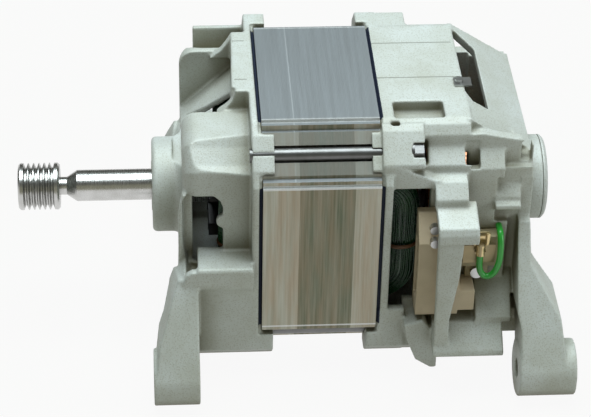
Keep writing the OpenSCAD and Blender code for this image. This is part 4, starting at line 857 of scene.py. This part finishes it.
def terminalGeometry():
    # push-on terminal: a plate whose two edges are rolled back over the tag, then a crimp barrel
    roll = []
    for i in range(terminal["rollSteps"] + 1):
        a = math.radians(-90 + terminal["rollTurn"] * i / terminal["rollSteps"])
        roll.append((terminal["rollX"] + terminal["rollRadius"] * math.cos(a),
                     terminal["rollRadius"] * math.sin(a)))
    outer = [(-u, v) for u, v in reversed(roll)] + roll
    inner = [(u * terminal["insideX"], v * terminal["insideY"]) for u, v in outer]
    rows, count = terminal["rows"], len(outer)
    verts = [Vector((brushGear["x"] + u * grow, terminal["y"] - v * grow, z)) * mm
             for z, grow in rows for u, v in outer]
    faces = stripFaces(0, len(rows), count)
    top, base = (len(rows) - 1) * count, len(verts)
    verts += [Vector((brushGear["x"] + u, terminal["y"] - v, z)) * mm
              for z in (rows[0][0], rows[-1][0]) for u, v in inner]
    for i in range(count - 1):
        a = base + i
        faces.append((a + 1, a, a + count, a + count + 1))
        faces.append((top + i, top + i + 1, base + count + i + 1, base + count + i))
        faces.append((i + 1, i, base + i, base + i + 1))
    # open barrel that grips the lead, with a seam along its front
    base = len(verts)
    for z, r in terminal["barrel"]:
        for a in map(math.radians, terminal["barrelAngles"]):
            x, y = brushGear["x"] + r * math.sin(a), terminal["barrelY"] - r * math.cos(a)
            verts.append(Vector((x, y, z)) * mm)
    faces += stripFaces(base, len(terminal["barrel"]), len(terminal["barrelAngles"]))
    return verts, faces


def makeBrushGear():
    spring = springGeometry()
    route = [(brushGear["x"] + x, y, z) for x, y, z in leadRoute]
    lead = tubeGeometry(curveThrough(route, brushGear["leadSteps"]), brushGear["leadRadius"] * mm,
                        brushGear["leadSides"])
    spade = terminalGeometry()
    for side, turned in motorSides.items():
        springPiece = makePiece(side + "BrushSpringWire", turned(spring[0]), spring[1], "spring_steel",
                                "frame", side + "_brush_spring")
        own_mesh(springPiece)
        makePiece(side + "BrushPigtail", turned(lead[0]), lead[1], "green_lead", "frame",
                  side + "_brush_lead")
        makePiece(side + "SpadeTerminal", turned(spade[0]), spade[1], "tube_brass", "frame")


# leads from the coil to the connector

fieldLead = {"x": 164.9, "heights": (12, 6), "radius": 0.9, "sides": 12, "steps": 5,
             "route": [(0, -42.5, 0.4), (0, -44.0, 0), (0, -45.9, 0), (0, -47.0, -0.8), (0, -48.1, -1.6),
                       (0, -50.05, -1.6)]}


def makeFieldLeads():
    verts, faces = [], []
    for height in fieldLead["heights"]:
        route = [(fieldLead["x"] + x, y, height + z) for x, y, z in fieldLead["route"]]
        path = curveThrough(route, fieldLead["steps"])
        addTo(verts, faces, tubeGeometry(path, fieldLead["radius"] * mm, fieldLead["sides"]))
    makePiece("fieldLeadPair", verts, faces, "enamelled_wire", "frame", "field_leads")


# rotor winding: heads of crossing wires in front of and behind the core, and bars of wire through its slots

head = {"slots": 24, "wires": 4, "span": 10, "frontFace": 95.9, "frontLength": 12.8, "rearFace": 148.1,
        "rearLength": 19.8, "outer": 28.2, "inner": 13.2, "sides": 72, "seed": 5,
        "outline": (("inner", 0, 0), ("outer", -1.2, 0), ("outer", -0.7, 0.25), ("outer", -0.7, 0.72),
                    ("outer", -3.6, 0.97), ("inner", 2.5, 0.97), ("inner", 0, 0.8))}
headWire = {"radius": 0.42, "sides": 5, "steps": 22, "spacing": 0.055, "loose": 0.02, "tallest": 0.93,
            "shorter": 0.1, "arch": 0.45, "depth": 0.75, "dip": 3.4, "dipFrom": 0.72, "dipOver": 0.28,
            "ripple": 0.3}
slotBars = {"radius": 0.95, "sides": 6, "overrun": 1.5, "stations": (105.0, 122.0, 139.0),
            "places": ((19.6, 0), (22.3, -0.75), (22.3, 0.75), (25.2, -1.1), (25.2, 1.1), (27.2, 0))}


def headBody(face, reach):
    # body of the head, under its outer wires
    verts = []
    for edge, offset, share in head["outline"]:
        r = head[edge] + offset
        for j in range(head["sides"]):
            a = 2 * math.pi * j / head["sides"]
            verts.append(Vector((face + reach * share, r * math.cos(a), r * math.sin(a))) * mm)
    return verts, ringFaces(len(head["outline"]), head["sides"], closed=True)


def headWires(verts, faces, face, reach, dice):
    for slotNumber in range(head["slots"]):
        for wire in range(head["wires"]):
            shift = (wire - (head["wires"] - 1) / 2) * headWire["spacing"]
            shift += dice.uniform(-headWire["loose"], headWire["loose"])
            tall = headWire["tallest"] - headWire["shorter"] * dice.random()
            path = []
            for i in range(headWire["steps"] + 1):
                s = i / headWire["steps"]
                rise = math.sin(math.pi * s) ** headWire["arch"]
                a = 2 * math.pi * (slotNumber + head["span"] * (s * s * (3 - 2 * s))) / head["slots"] + shift
                dip = headWire["dip"] * max(rise - headWire["dipFrom"], 0) / headWire["dipOver"]
                r = head["outer"] - headWire["depth"] - dip + headWire["ripple"] * math.sin(5 * s + wire)
                path.append(Vector((face + reach * tall * rise, r * math.cos(a), r * math.sin(a))) * mm)
            addTo(verts, faces, tubeGeometry(path, headWire["radius"] * mm, headWire["sides"]))


def makeRotorWinding():
    dice = random.Random(head["seed"])
    verts, faces = [], []
    for face, reach in ((head["frontFace"], -head["frontLength"]), (head["rearFace"], head["rearLength"])):
        addTo(verts, faces, headBody(face, reach))
        headWires(verts, faces, face, reach, dice)
    stations = (head["frontFace"] - slotBars["overrun"], *slotBars["stations"],
                head["rearFace"] + slotBars["overrun"])
    for i in range(head["slots"]):
        a = 2 * math.pi * i / head["slots"]
        for r, side in slotBars["places"]:
            y, z = r * math.cos(a) - side * math.sin(a), r * math.sin(a) + side * math.cos(a)
            path = [Vector((x, y, z)) * mm for x in stations]
            addTo(verts, faces, tubeGeometry(path, slotBars["radius"] * mm, slotBars["sides"]))
    makePiece("rotorWires", verts, faces, "rotor_wire", "rotor", "rotor_winding")


makeBrushGear()
makeFieldLeads()
makeRotorWinding()
print("brush gear, leads and rotor winding ready")
